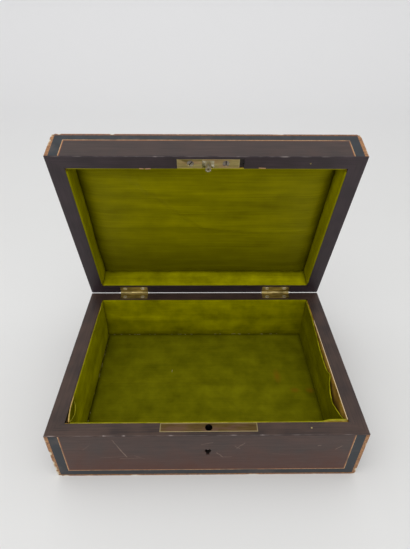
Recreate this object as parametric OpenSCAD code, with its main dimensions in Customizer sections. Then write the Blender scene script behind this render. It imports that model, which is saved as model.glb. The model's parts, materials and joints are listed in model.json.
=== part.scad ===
// Stationery box with an inlaid veneered case, a hinged lid and a link plate lock.
// Origin at the centre of the underside, X across the front, Y to the back, Z up.

/* [Box] */
// Width across the front
box_w = 250; // [200:1:360]
// Depth from front to back
box_d = 178; // [140:1:260]
// Height of the base, from the table to its rim
base_h = 56; // [50:1:100]
// Height of the lid, from its rim to its top
lid_h = 29.5; // [27:0.5:50]
// Angle that the lid stands open at
lid_open = 73; // [0:1:100]
// Gap between the two rims when the lid is shut
lid_gap = 0.15; // [0.1:0.05:0.5]

/* [Carcass] */
// Thickness of the left and right walls
side_wall = 12.2; // [9:0.1:18]
// Thickness of the front and back walls
front_wall = 10.3; // [9.5:0.1:16]
// Wood that the front and back walls keep outside the lapped corner
corner_lap = 4; // [2.5:0.1:6]
// Thickness of the bottom board
board_t = 5; // [3:0.1:8]
// How far the bottom board is let into the walls
board_let = 5; // [2:0.1:6]
// Thickness of the board that closes the lid
top_board_t = 7; // [4:0.1:9]
// Thickness of the veneers and of the inlay
veneer_t = 1; // [0.6:0.1:1.6]
// Thickness of the dark facing on the rims
rim_t = 0.8; // [0.5:0.1:1.2]

/* [Inlay] */
// Width of the light strips let into the upright corners
corner_strip = 3; // [2:0.1:4.5]
// Width of the light strips round the bottom and the top
edge_strip = 2.3; // [1.5:0.1:3.5]
// Distance of the light line from the upright edges
string_in = 10.4; // [7:0.1:18]
// Distance of the light line from the bottom and the top
string_up = 8.1; // [5:0.1:14]
// Width of the light line
string_w = 1.2; // [0.8:0.1:2.5]

/* [Lining] */
// Thickness of the cards under the silk
card_t = 1.2; // [0.8:0.1:2]
// Thickness of the folded silk at the edge of a panel
silk_t = 0.6; // [0.4:0.1:1.2]
// Width of the soft fold along the edge of a panel
silk_fold = 1.4; // [0.8:0.1:2.5]
// Height that the wall linings keep under the rims
reveal = 0.5; // [0.5:0.1:4]
// Gap between linings that meet in a corner
lining_gap = 0.3; // [0.2:0.05:1]
// Crown of the silk on the walls
wall_crown = 0.9; // [0.2:0.1:1.5]
// Crown of the silk on the floor
floor_crown = 0.5; // [0.2:0.1:3]
// Crown of the wadded panel in the lid
panel_crown = 2.5; // [0.5:0.1:5]
// Depth from the lid's rim to the edge of its wadded panel
panel_depth = 15; // [10:0.1:17]
// How far the right lining of the base has come away at the top
loose_top = 3; // [0:0.1:4]
// How far the loose top edge of that lining sags between its swags
loose_sag = 8.5; // [0:0.1:9]

/* [Hinges] */
// Length of a hinge
hinge_l = 30; // [20:1:45]
// Distance of a hinge's end from the side of the box
hinge_in = 32; // [15:1:50]
// Width of a leaf, from the back of the box inwards
leaf_w = 9.2; // [9:0.1:11]
// Thickness of a leaf
leaf_t = 1.3; // [1:0.1:1.6]
// Outer radius of the knuckles
knuckle_r = 1.9; // [1.7:0.1:2.2]
// Radius of the hinge pin
pin_r = 0.95; // [0.7:0.05:1.1]
// Distance of the hinge pin behind the back of the box
pin_back = 1.1; // [0.6:0.1:1.4]
// Number of knuckles, an odd number
knuckles = 5; // [3:2:7]
// Distance of a hinge screw from the middle of its leaf
hinge_screw_x = 9.5; // [6:0.1:11]
// Distance of the hinge screws from the back of the box
hinge_screw_in = 6.2; // [5.8:0.1:6.8]
// Radius of a hinge screw's head
hinge_head_r = 2.2; // [1.8:0.1:2.5]

/* [Lock] */
// How far the lock and the link plate sit to the right of the middle
lock_x = 1; // [-2:0.1:2]
// How far the keyhole sits to the left of the lock's middle
key_left = 0.6; // [0:0.1:1]
// Length of the brass plate let into the front rim
lock_w = 76; // [68:1:90]
// Width of that plate, from the inner edge of the rim
lock_d = 7.9; // [7.5:0.1:8.2]
// Thickness of that plate
lock_t = 1.5; // [1.2:0.1:2]
// Thickness of the lock's back plate
back_plate_t = 1.2; // [0.8:0.1:1.4]
// Height of the lock's back plate
back_plate_h = 34; // [31:0.5:40]
// Width of the lock case
case_w = 56; // [54:0.5:58]
// Height of the lock case under the rim plate
case_h = 28; // [26:0.5:30]
// Thickness of the case's sheet
case_t = 0.8; // [0.6:0.1:1]
// Depth of the keyhole's centre below the rim
key_drop = 20.5; // [19:0.1:22]
// Radius of the round part of the keyhole
keyhole_r = 2.7; // [2.4:0.1:3.2]
// Length of the keyhole from its top to the foot of its slot
keyhole_l = 8; // [7:0.1:11]
// Width of the keyhole's slot
keyhole_slot = 2.6; // [2:0.1:3.2]
// Radius of the pin that the key's barrel turns on
key_pin_r = 1; // [0.7:0.05:1.2]
// How far the pin's end lies behind the front of the box
key_pin_in = 1.4; // [0.8:0.1:3]
// Travel of the bolt
throw = 5.5; // [5:0.1:6]
// Thickness of the bolt
bolt_t = 2; // [1.6:0.1:2.2]
// Height of the bolt's plate
bolt_h = 8; // [7:0.1:9]

/* [Link plate] */
// Length of the plate let into the lid's rim
link_w = 49; // [44:1:60]
// Width of that plate, from the inner edge of the rim
link_d = 8.7; // [8:0.1:9.2]
// Thickness of that plate
link_t = 1.3; // [1:0.1:2]
// Depth of that plate under the rim
link_sink = 0.5; // [0.3:0.1:0.9]
// How far that plate's recess runs on past its right end
link_room = 3.7; // [0:0.1:6]
// Length of the post's square foot
foot_w = 9.4; // [7:0.1:12]
// Width of the post's square foot
foot_d = 6.6; // [6:0.1:7]
// Radius of the post
post_r = 2.3; // [2.1:0.1:2.4]
// Length of the post from the rim
post_l = 6.5; // [6.3:0.1:7]
// Distance of the post's middle from the inner edge of the rim
post_back = 4.1; // [3.9:0.05:4.3]
// Radius of the hole that the post enters
post_hole_r = 2.95; // [2.8:0.05:3]
// Distance of the link plate's screws from the post
link_screw_x = 14; // [10:0.1:18]
// Radius of those screws' heads
link_head_r = 2.75; // [2.2:0.1:3]
// Turn of the left screw's slot, as it was left
left_slot_turn = -50; // [-90:5:90]
// Turn of the right screw's slot
right_slot_turn = 90; // [-90:5:90]

/* [Screws] */
// Length of the hinge and link plate screws
screw_l = 9; // [6:0.1:12]
// Length of the lock's screws
lock_screw_l = 7.5; // [5:0.1:8]
// Radius of a screw's shank
shank_r = 1.1; // [0.8:0.05:1.2]
// Radius of the lock screws' heads
lock_head_r = 2.2; // [1.8:0.1:2.6]
// Width of a screw's slot
slot_w = 0.8; // [0.5:0.1:1.2]
// Depth of a screw's slot
slot_deep = 0.6; // [0.3:0.1:0.8]

/* [Hidden] */
// Running clearance round a pin or a shank
play = 0.05;
// Space round knuckles and sliding pieces
slack = 0.15;
// Extra length that a cut runs past the face it opens
over = 1;

FRONT = 0;
BACK = 1;
LEFT = 2;
RIGHT = 3;
turn = [180, 0, 90, -90];
half = [box_d / 2, box_d / 2, box_w / 2, box_w / 2];
wide = [box_w, box_w, box_d, box_d];

side_rim = veneer_t + side_wall;
front_rim = veneer_t + front_wall;
rim_of = [front_rim, front_rim, side_rim, side_rim];
inner_w = box_w - 2 * side_rim;
inner_d = box_d - 2 * front_rim;
inner_of = [inner_w, inner_w, inner_d, inner_d];

base_wall_h = base_h - rim_t;
lid_wall_h = lid_h - veneer_t - top_board_t;
pin_y = box_d / 2 + pin_back;
pin_z = base_h + lid_gap / 2;
lid_z = base_h + lid_gap;
notch_r = knuckle_r + slack + play;
knuckle_l = hinge_l / knuckles;
hinge_x = box_w / 2 - hinge_in - hinge_l / 2;

lock_in = front_rim - lock_d;
plate_in = front_rim - back_plate_t;
post_in = front_rim - post_back;
post_y = post_in - box_d / 2;
under_plate = base_h - lock_t;
lock_screw_in = 6;
slot_room = 0.2;
end_room = 0.7;
under_post = 2.2;
bolt_top = base_h - post_l - under_post;
bolt_low = bolt_top - bolt_h;
stud_x = 12;
stud_r = 1.2;
stud_head_r = 2;
stud_head_t = 0.6;
stud_z = bolt_top - bolt_h / 2;
key_hollow_r = 3.2;
bolt_left = -(stud_x + throw + 2 * stud_head_r);
bolt_right = case_w / 2 - case_t - throw - end_room;
tongue_h = 2;
tongue_z = base_h - 4.8;
tongue_tip = -(post_hole_r + 2 * slot_room);
tongue_in = post_in - bolt_t / 2;
arm_w = 4.5;
arm_right = -(post_hole_r + throw + slot_room);
bow_x = 14.5;
bow_half = 7;
bow_sag = under_plate - bolt_top - play;
bow_r = (bow_half * bow_half + bow_sag * bow_sag) / (2 * bow_sag);
bow_t = 0.5;
rivet_share = 0.8;
post_rivet_r = 1.6;
post_bore_r = 1.1;
post_bore_l = 2;

wall_lining_h = base_h - board_t - reveal;
lid_lining_h = lid_wall_h - reveal;
side_back = card_t + silk_t + lining_gap;
floor_in = card_t + silk_t + 0.5;
panel_in = 2.8;
// Swags of the loose edge: place along it from -1 to 1, width, distance from the wall, and sag
swags = [[0.18, 0.25, 0.6, 0.4], [0.7, 0.13, 1, 1]];
head_t = 1.3;

$fn = 48;

// Turns a shape to stand on one face: X along the face, Y up, Z inwards from the outside
module on_face(f) {
    rotate([90, 0, turn[f]]) translate([0, 0, -half[f]]) children();
}

// Carries a piece drawn on a shut lid, with the lid's rim at zero, to where the lid stands
module on_lid() {
    translate([0, pin_y, pin_z]) rotate([-lid_open, 0, 0])
        translate([0, -pin_y, lid_z - pin_z]) children();
}

// Draws a base layout upside down, for the lid, whose closed edge is at the top
module upside_down() {
    translate([0, lid_h, 0]) mirror([0, 1, 0]) children();
}

// A block between two corners
module block(low, high) {
    translate(low) cube(high - low);
}

// A slotted countersunk screw that points down from its head at zero
module screw(head_r, length, slot_turn = 0) {
    difference() {
        union() {
            translate([0, 0, -head_t]) cylinder(h = head_t, r1 = shank_r, r2 = head_r);
            translate([0, 0, -length + shank_r]) cylinder(h = length - shank_r - head_t, r = shank_r);
            translate([0, 0, -length]) cylinder(h = shank_r, r1 = 0.2, r2 = shank_r);
        }
        rotate([0, 0, slot_turn]) translate([-head_r, -slot_w / 2, -slot_deep])
            cube([2 * head_r, slot_w, slot_deep + over]);
    }
}

// The hole that a screw needs, with its countersink
module screw_hole(head_r, length) {
    translate([0, 0, -head_t]) cylinder(h = head_t, r1 = shank_r + play, r2 = head_r + play);
    translate([0, 0, -length - play]) cylinder(h = length, r = shank_r + play);
}

// The upright strips at the corners, as long as the carcass they are let into
module corner_posts(low, high) {
    for (x = [-1, 1]) for (y = [-1, 1])
        translate([x * (box_w - corner_strip) / 2, y * (box_d - corner_strip) / 2, (low + high) / 2])
            cube([corner_strip, corner_strip, high - low], center = true);
}

// A flat frame as wide and deep as the box
module edge_ring(width, low, high) {
    translate([0, 0, low]) linear_extrude(high - low) difference() {
        square([box_w, box_d], center = true);
        square([box_w - 2 * width, box_d - 2 * width], center = true);
    }
}

// One wall of the base or the lid: front and back walls lap over the ends of the side walls
module wall(f, low, high) {
    if (f == FRONT || f == BACK) {
        reach = box_w / 2 - veneer_t;
        on_face(f) {
            block([-reach, low, veneer_t], [reach, high, veneer_t + corner_lap]);
            block([-inner_w / 2, low, veneer_t], [inner_w / 2, high, front_rim]);
        }
    } else {
        reach = box_d / 2 - veneer_t - corner_lap;
        on_face(f) block([-reach, low, veneer_t], [reach, high, side_rim]);
    }
}

module bottom_board_block() {
    translate([0, 0, board_t / 2])
        cube([inner_w + 2 * board_let, inner_d + 2 * board_let, board_t], center = true);
}

module base_wall(f) {
    difference() {
        wall(f, 0, base_wall_h);
        bottom_board_block();
        corner_posts(-over, base_h);
        edge_ring(edge_strip, -over, edge_strip);
    }
}

module lid_wall(f) {
    difference() {
        wall(f, rim_t, lid_wall_h);
        corner_posts(-over, lid_h);
    }
}

module base_board() {
    color("burlywood") bottom_board_block();
}

module base_front_wall() {
    color("tan") difference() {
        base_wall(FRONT);
        lock_mortise();
        keyhole();
        lock_screw_places() screw_hole(lock_head_r, lock_screw_l);
    }
}

module base_back_wall() {
    color("tan") difference() {
        base_wall(BACK);
        translate([0, 0, base_h]) hinge_mortises(-1);
    }
}

module base_left_wall() {
    color("tan") base_wall(LEFT);
}

module base_right_wall() {
    color("tan") base_wall(RIGHT);
}

module lid_top_board() {
    color("tan") on_lid() difference() {
        translate([0, 0, lid_wall_h + top_board_t / 2])
            cube([box_w - 2 * veneer_t, box_d - 2 * veneer_t, top_board_t], center = true);
        corner_posts(-over, lid_h);
        edge_ring(edge_strip, lid_h - edge_strip, lid_h);
    }
}

module lid_front_wall() {
    color("tan") on_lid() difference() {
        lid_wall(FRONT);
        link_mortise();
        link_screw_places() screw_hole(link_head_r, screw_l);
    }
}

module lid_back_wall() {
    color("tan") on_lid() difference() {
        lid_wall(BACK);
        hinge_mortises(1);
    }
}

module lid_left_wall() {
    color("tan") on_lid() lid_wall(LEFT);
}

module lid_right_wall() {
    color("tan") on_lid() lid_wall(RIGHT);
}

// Flat outline of the veneer inside the light line, on a face h high with its closed edge at zero
module field_outline(f, h) {
    side = string_in + string_w;
    translate([-wide[f] / 2 + side, string_up + string_w])
        square([wide[f] - 2 * side, h - string_up - string_w]);
}

// Flat outline of a band that runs down both sides and along the closed edge
module band_outline(f, h, side, edge, side_width, edge_width) {
    difference() {
        translate([-wide[f] / 2 + side, edge]) square([wide[f] - 2 * side, h - edge]);
        translate([-wide[f] / 2 + side + side_width, edge + edge_width])
            square([wide[f] - 2 * (side + side_width), h]);
    }
}

module field(f, h) {
    linear_extrude(veneer_t) field_outline(f, h);
}

module banding(f, h) {
    linear_extrude(veneer_t)
        band_outline(f, h, corner_strip, edge_strip, string_in - corner_strip, string_up - edge_strip);
}

module stringing(f, h) {
    linear_extrude(veneer_t) band_outline(f, h, string_in, string_up, string_w, string_w);
}

module base_front_veneer() {
    color("#51433e") difference() {
        on_face(FRONT) field(FRONT, base_wall_h);
        keyhole();
    }
}

module base_back_veneer() {
    color("#51433e") difference() {
        on_face(BACK) field(BACK, base_wall_h);
        translate([0, 0, base_h]) hinge_mortises(-1);
    }
}

module base_left_veneer() {
    color("#51433e") on_face(LEFT) field(LEFT, base_wall_h);
}

module base_right_veneer() {
    color("#51433e") on_face(RIGHT) field(RIGHT, base_wall_h);
}

module base_banding() {
    color("#3e4549") for (f = [FRONT, BACK, LEFT, RIGHT]) on_face(f) banding(f, base_wall_h);
}

module base_stringing() {
    color("#b08a62") for (f = [FRONT, BACK, LEFT, RIGHT]) on_face(f) stringing(f, base_wall_h);
}

module base_corner_strips() {
    color("#94704f") corner_posts(edge_strip, base_wall_h);
}

module base_bottom_strips() {
    color("#94704f") edge_ring(edge_strip, 0, edge_strip);
}

module base_rim() {
    color("#453a38") difference() {
        rim_frame(base_wall_h, base_h);
        lock_mortise();
        translate([0, 0, base_h]) hinge_mortises(-1);
    }
}

// The dark facing that covers the tops of the walls and the edges of the veneers
module rim_frame(low, high) {
    translate([0, 0, low]) linear_extrude(high - low) difference() {
        square([box_w, box_d], center = true);
        square([inner_w, inner_d], center = true);
    }
}

module lid_face_layer(f) {
    on_lid() on_face(f) upside_down() children();
}

module lid_front_veneer() {
    color("#4d4444") lid_face_layer(FRONT) field(FRONT, lid_h - rim_t);
}

module lid_back_veneer() {
    color("#4d4444") difference() {
        lid_face_layer(BACK) field(BACK, lid_h - rim_t);
        on_lid() hinge_mortises(1);
    }
}

module lid_left_veneer() {
    color("#4d4444") lid_face_layer(LEFT) field(LEFT, lid_h - rim_t);
}

module lid_right_veneer() {
    color("#4d4444") lid_face_layer(RIGHT) field(RIGHT, lid_h - rim_t);
}

// Flat frame on the top of the lid, between two distances from its edges
module top_frame(outer, inner) {
    translate([0, 0, lid_h - veneer_t]) linear_extrude(veneer_t) difference() {
        square([box_w - 2 * outer, box_d - 2 * outer], center = true);
        square([box_w - 2 * inner, box_d - 2 * inner], center = true);
    }
}

module lid_top_veneer() {
    color("#4d4444") on_lid() translate([0, 0, lid_h - veneer_t / 2])
        cube([box_w - 2 * (string_in + string_w), box_d - 2 * (string_in + string_w), veneer_t],
            center = true);
}

module lid_banding() {
    color("#3e4549") {
        for (f = [FRONT, BACK, LEFT, RIGHT]) lid_face_layer(f) banding(f, lid_h - rim_t);
        on_lid() top_frame(edge_strip, string_in);
    }
}

module lid_stringing() {
    color("#b08a62") {
        for (f = [FRONT, BACK, LEFT, RIGHT]) lid_face_layer(f) stringing(f, lid_h - rim_t);
        on_lid() top_frame(string_in, string_in + string_w);
    }
}

module lid_corner_strips() {
    color("#94704f") on_lid() corner_posts(rim_t, lid_h - edge_strip);
}

module lid_top_strips() {
    color("#94704f") on_lid() edge_ring(edge_strip, lid_h - edge_strip, lid_h);
}

module lid_rim() {
    color("#3a3332") on_lid() difference() {
        rim_frame(0, rim_t);
        link_mortise();
        hinge_mortises(1);
    }
}

// Places of the lines of a panel's grid, from -1 to 1, with one fold width at each end
function grid_places(length, n) =
    let (flat = 1 - 2 * silk_fold / length)
    concat([-1], [for (i = [0:n]) flat * (2 * i / n - 1)], [1]);

// Height of the silk at one grid place: a crown that dies out towards the edges
function silk_height(u, v, edge, crown) =
    (abs(u) == 1 || abs(v) == 1) ? 0.4 * edge : edge + crown * (1 - pow(u, 4)) * (1 - pow(v, 4));

// How strongly a loose top edge hangs in swags at one grid place: what is 2 for its distance
// from the wall and 3 for its sag
function swag(u, v, what) =
    pow((1 + v) / 2, 3) * max([for (s = swags) s[what] * exp(-pow((u - s[0]) / s[1], 2))]);

// A padded silk panel: flat back at zero, crowned front, folded edges, and maybe a loose top edge
module silk_panel(length, width, edge, crown, nu, nv, loose = 0, sag = 0) {
    us = grid_places(length, nu);
    vs = grid_places(width, nv);
    cols = len(us);
    rows = len(vs);
    count = cols * rows;
    front = [for (v = vs) for (u = us) [
        u * length / 2,
        v * width / 2 - sag * swag(u, v, 3),
        silk_height(u, v, edge, crown) + loose * swag(u, v, 2)
    ]];
    loop = concat(
        [for (i = [0:cols - 2]) i],
        [for (j = [0:rows - 2]) j * cols + cols - 1],
        [for (i = [cols - 1:-1:1]) (rows - 1) * cols + i],
        [for (j = [rows - 1:-1:1]) j * cols]);
    n = len(loop);
    // The back of a sagging panel follows its grid, and that of any other is a fan from its middle
    rim = sag > 0 ? loop : [for (k = [0:n - 1]) k];
    back = sag > 0 ? [for (p = front) [p[0], p[1], 0]]
        : concat([for (k = loop) [front[k][0], front[k][1], 0]], [[0, 0, 0]]);
    top_faces = [for (j = [0:rows - 2]) for (i = [0:cols - 2]) for (half_quad = [0, 1])
        let (a = j * cols + i, b = a + 1, c = a + cols + 1, d = a + cols)
        half_quad == 0 ? [a, c, b] : [a, d, c]];
    side_faces = [for (k = [0:n - 1]) for (half_quad = [0, 1])
        let (m = (k + 1) % n, a = loop[k], b = loop[m], c = count + rim[m], d = count + rim[k])
        half_quad == 0 ? [a, b, c] : [a, c, d]];
    back_faces = sag > 0 ? [for (t = top_faces) [count + t[0], count + t[2], count + t[1]]]
        : [for (k = [0:n - 1]) [count + n, count + k, count + (k + 1) % n]];
    polyhedron(concat(front, back), concat(top_faces, side_faces, back_faces));
}

// Length of the lining on one wall: the side walls' linings fit between the front and back ones
function lining_l(f) = inner_of[f] - 2 * ((f == FRONT || f == BACK) ? play : side_back);

// Card against the inside of one wall, standing between two heights
module wall_card(f, low, high) {
    on_face(f) block(
        [-lining_l(f) / 2, low, rim_of[f]],
        [lining_l(f) / 2, high - silk_t, rim_of[f] + card_t]);
}

// Silk on that card
module wall_silk(f, low, high, crown, loose = 0, sag = 0) {
    on_face(f) translate([0, (low + high) / 2, rim_of[f] + card_t])
        silk_panel(lining_l(f), high - low, silk_t, crown, sag > 0 ? 34 : 18, 6, loose, sag);
}

module base_lining_cards() {
    color("#c9b58c") for (f = [FRONT, BACK, LEFT, RIGHT])
        wall_card(f, board_t, board_t + wall_lining_h);
}

module base_wall_silk(f, loose = 0, sag = 0) {
    color("#69660a") wall_silk(f, board_t, board_t + wall_lining_h, wall_crown, loose, sag);
}

module base_front_silk() {
    base_wall_silk(FRONT);
}

module base_back_silk() {
    base_wall_silk(BACK);
}

module base_left_silk() {
    base_wall_silk(LEFT);
}

module base_right_silk() {
    base_wall_silk(RIGHT, loose_top, loose_sag);
}

module base_floor_card() {
    color("#c9b58c") translate([0, 0, board_t + card_t / 2])
        cube([inner_w - 2 * floor_in, inner_d - 2 * floor_in, card_t], center = true);
}

module base_floor_silk() {
    color("#5d5a0c") translate([0, 0, board_t + card_t])
        silk_panel(inner_w - 2 * floor_in, inner_d - 2 * floor_in, silk_t, floor_crown, 22, 16);
}

module lid_lining_cards() {
    color("#c9b58c") on_lid() for (f = [FRONT, BACK, LEFT, RIGHT])
        upside_down_card(f);
}

// The lid's cards keep their folded edge at the rim, so they are drawn upside down
module upside_down_card(f) {
    on_face(f) upside_down()
        block([-lining_l(f) / 2, lid_h - lid_wall_h, rim_of[f]],
            [lining_l(f) / 2, lid_h - reveal - silk_t, rim_of[f] + card_t]);
}

module lid_wall_silk(f) {
    color("#727006") on_lid() on_face(f) upside_down()
        translate([0, lid_h - (reveal + lid_wall_h) / 2, rim_of[f] + card_t])
            silk_panel(lining_l(f), lid_lining_h, silk_t, wall_crown, 18, 5);
}

module lid_front_silk() {
    lid_wall_silk(FRONT);
}

module lid_back_silk() {
    lid_wall_silk(BACK);
}

module lid_left_silk() {
    lid_wall_silk(LEFT);
}

module lid_right_silk() {
    lid_wall_silk(RIGHT);
}

module lid_panel_card() {
    color("#c9b58c") on_lid() translate([0, 0, lid_wall_h - card_t / 2])
        cube([inner_w - 2 * panel_in, inner_d - 2 * panel_in, card_t], center = true);
}

module lid_panel_silk() {
    color("#676306") on_lid() translate([0, 0, lid_wall_h - card_t]) mirror([0, 0, 1])
        silk_panel(inner_w - 2 * panel_in, inner_d - 2 * panel_in,
            lid_wall_h - card_t - panel_depth, panel_crown, 22, 16);
}

// Runs pieces along each hinge's pin, at the height of the rim that they belong to
module at_hinges() {
    for (side = [-1, 1]) translate([side * hinge_x, 0, 0]) children();
}

// Room for the leaves and the knuckles in a rim at zero: side is -1 for the base and 1 for the lid
module hinge_mortises(side) {
    low = side < 0 ? -leaf_t : -over;
    high = side < 0 ? over : leaf_t;
    at_hinges() {
        block([-hinge_l / 2 - play, box_d / 2 - leaf_w, low],
            [hinge_l / 2 + play, box_d / 2 + over, high]);
        knuckle_rod(notch_r, hinge_l + 2 * slack, side);
        for (x = [-hinge_screw_x, hinge_screw_x])
            translate([x, box_d / 2 - hinge_screw_in, 0]) mirror([0, 0, side < 0 ? 0 : 1])
                screw_hole(hinge_head_r, screw_l);
    }
}

// A rod on the hinge pin's axis
module knuckle_rod(radius, length, side) {
    translate([-length / 2, pin_y, -side * lid_gap / 2]) rotate([0, 90, 0])
        cylinder(h = length, r = radius);
}

// A leaf with every second knuckle, starting at the first one on the base
module hinge_leaf(side) {
    first = side < 0 ? 0 : 1;
    low = side < 0 ? -leaf_t : 0;
    free = pin_y - knuckle_r - slack;
    difference() {
        union() {
            block([-hinge_l / 2, box_d / 2 - leaf_w, low], [hinge_l / 2, free, low + leaf_t]);
            for (k = [first:2:knuckles - 1]) translate([(k + 0.5) * knuckle_l - hinge_l / 2, 0, 0]) {
                knuckle_rod(knuckle_r, knuckle_l - 2 * play, side);
                block([-knuckle_l / 2 + play, free - over, low],
                    [knuckle_l / 2 - play, pin_y, low + leaf_t]);
            }
        }
        knuckle_rod(pin_r + play, hinge_l + 2 * over, side);
        for (x = [-hinge_screw_x, hinge_screw_x])
            translate([x, box_d / 2 - hinge_screw_in, 0]) mirror([0, 0, side < 0 ? 0 : 1])
                screw_hole(hinge_head_r, screw_l);
    }
}

module hinge_base_leaves() {
    color("#8d7443") translate([0, 0, base_h]) at_hinges() hinge_leaf(-1);
}

module hinge_lid_leaves() {
    color("#8d7443") on_lid() at_hinges() hinge_leaf(1);
}

module hinge_pins() {
    color("#a8926a") translate([0, 0, base_h]) at_hinges() knuckle_rod(pin_r, hinge_l, -1);
}

module hinge_screws() {
    at_hinges() for (x = [-hinge_screw_x, hinge_screw_x])
        translate([x, box_d / 2 - hinge_screw_in, 0]) screw(hinge_head_r, screw_l);
}

module hinge_base_screws() {
    color("#9c9480") translate([0, 0, base_h]) hinge_screws();
}

module hinge_lid_screws() {
    color("#9c9480") on_lid() mirror([0, 0, 1]) hinge_screws();
}

// Moves a piece from the middle of the front to the middle of the lock, or of its keyhole
module at_lock() {
    translate([lock_x, 0, 0]) children();
}

module at_key() {
    translate([lock_x - key_left, 0, 0]) children();
}

// Keyhole through the veneer, the wall and the case, its round part over its slot
module keyhole() {
    at_key() on_face(FRONT) translate([0, base_h - key_drop, -over]) {
        cylinder(h = plate_in + over - case_t, r = keyhole_r);
        translate([-keyhole_slot / 2, keyhole_r - keyhole_l, 0])
            cube([keyhole_slot, keyhole_l - keyhole_r, plate_in + over - case_t]);
    }
}

// Room for the rim plate, the back plate and the case
module lock_mortise() {
    at_lock() on_face(FRONT) {
        block([-lock_w / 2, under_plate, lock_in], [lock_w / 2, base_h + over, front_rim + over]);
        block([-lock_w / 2, base_h - back_plate_h, plate_in], [lock_w / 2, base_h, front_rim + over]);
        block([-case_w / 2, under_plate - case_h, lock_in], [case_w / 2, base_h, front_rim]);
    }
}

// Where the lock's screws go, with their heads in the back plate's face
module lock_screw_places() {
    for (x = [-1, 1]) for (z = [-lock_screw_in, lock_screw_in - back_plate_h])
        at_lock() on_face(FRONT) translate([x * (lock_w + case_w) / 4, base_h + z, front_rim]) children();
}

// Plate in the rim with the plate behind the case, bent from one sheet
module lock_plate() {
    color("#7a6236") difference() {
        at_lock() on_face(FRONT) {
            block([-lock_w / 2, under_plate, lock_in], [lock_w / 2, base_h, front_rim]);
            block([-lock_w / 2, base_h - back_plate_h, plate_in], [lock_w / 2, base_h, front_rim]);
        }
        at_lock() translate([0, post_y, under_plate - over])
            cylinder(h = lock_t + 2 * over, r = post_hole_r);
        lock_screw_places() screw_hole(lock_head_r, lock_screw_l);
        key_pin_place() rivet(rivet_share * key_pin_r, over);
        stud_places() rivet(rivet_share * stud_r, over);
    }
}

// The pin and the studs stand on the back plate: zero is its face, and up is towards the front
module key_pin_place() {
    at_key() on_face(FRONT) translate([0, base_h - key_drop, plate_in]) mirror([0, 0, 1]) children();
}

module stud_places() {
    for (x = [-stud_x, stud_x])
        at_lock() on_face(FRONT) translate([x, stud_z, plate_in]) mirror([0, 0, 1]) children();
}

// The thin end that holds a pin in the back plate, or its hole, which runs past both faces
module rivet(radius, past = 0) {
    translate([0, 0, -back_plate_t - past]) cylinder(h = back_plate_t + 2 * past, r = radius);
}

// Case: a tray of thin sheet round the works, open to the two plates
module lock_case() {
    color("#85703f") difference() {
        at_lock() on_face(FRONT) difference() {
            block([-case_w / 2, under_plate - case_h, lock_in], [case_w / 2, under_plate, plate_in]);
            block([case_t - case_w / 2, under_plate - case_h + case_t, lock_in + case_t],
                [case_w / 2 - case_t, base_h, plate_in + over]);
        }
        keyhole();
    }
}

// Bolt: a plate that slides along the back plate on two studs, an arm up at its left, and a
// tongue that enters the post; the hollow in its lower edge takes the key's bit
module lock_bolt() {
    color("#8a8275") at_lock() mirror([1, 0, 0]) on_face(FRONT) {
        difference() {
            block([bolt_left, bolt_low, plate_in - bolt_t - slot_room / 2],
                [bolt_right, bolt_top, plate_in - slot_room / 2]);
            for (x = [-stud_x, stud_x]) bolt_slot(x);
            translate([0, bolt_low, plate_in - bolt_t - over])
                cylinder(h = bolt_t + 2 * over, r = key_hollow_r);
        }
        block([arm_right - arm_w, bolt_top - over, tongue_in],
            [arm_right, tongue_z + tongue_h, plate_in - slot_room / 2]);
        block([arm_right - over, tongue_z, tongue_in], [tongue_tip, tongue_z + tongue_h, tongue_in + bolt_t]);
    }
}

// Slot that lets the bolt travel past a stud
module bolt_slot(x) {
    r = stud_r + play;
    translate([x - throw, stud_z, plate_in - bolt_t - over]) {
        for (end = [-slot_room, throw + slot_room]) translate([end, 0, 0])
            cylinder(h = bolt_t + 2 * over, r = r);
        translate([-slot_room, -r, 0]) cube([throw + 2 * slot_room, 2 * r, bolt_t + 2 * over]);
    }
}

// Bow spring between the rim plate and the top of the bolt
module lock_spring() {
    color("#6d6a66") at_lock() mirror([1, 0, 0]) on_face(FRONT)
        translate([bow_x, bolt_top + play + bow_r, plate_in - bolt_t - slot_room])
            linear_extrude(bolt_t) intersection() {
                difference() {
                    circle(r = bow_r);
                    circle(r = bow_r - bow_t);
                }
                translate([-bow_half, -bow_r]) square([2 * bow_half, bow_sag - play]);
            }
}

module key_pin() {
    color("#b5a888") {
        key_pin_place() {
            cylinder(h = plate_in - key_pin_in, r = key_pin_r);
            rivet(rivet_share * key_pin_r - play);
        }
    }
}

module guide_studs() {
    color("#b5a888") stud_places() {
        cylinder(h = bolt_t + slot_room, r = stud_r);
        translate([0, 0, bolt_t + slot_room]) cylinder(h = stud_head_t, r = stud_head_r);
        rivet(rivet_share * stud_r - play);
    }
}

module lock_screws() {
    color("#9c9480") lock_screw_places() screw(lock_head_r, lock_screw_l);
}

// A block as long and wide as the link plate
module link_block(low, high) {
    at_lock() on_face(FRONT) block([-link_w / 2, low, front_rim - link_d], [link_w / 2, high, front_rim]);
}

module link_mortise() {
    at_lock() on_face(FRONT) block([-link_w / 2 - link_room, -over, front_rim - link_d],
        [link_w / 2, link_sink + link_t, front_rim + over]);
}

// One screw of the link plate: side is -1 for the left one and 1 for the right one
module link_screw_place(side) {
    translate([lock_x + side * link_screw_x, front_rim - (link_d + box_d) / 2, link_sink])
        mirror([0, 0, 1]) children();
}

module link_screw_places() {
    for (side = [-1, 1]) link_screw_place(side) children();
}

module link_plate() {
    color("#8a7340") on_lid() difference() {
        link_block(link_sink, link_sink + link_t);
        link_screw_places() screw_hole(link_head_r, screw_l);
        translate([lock_x, post_y, 0]) cylinder(h = link_sink + link_t + over, r = post_rivet_r);
    }
}

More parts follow.
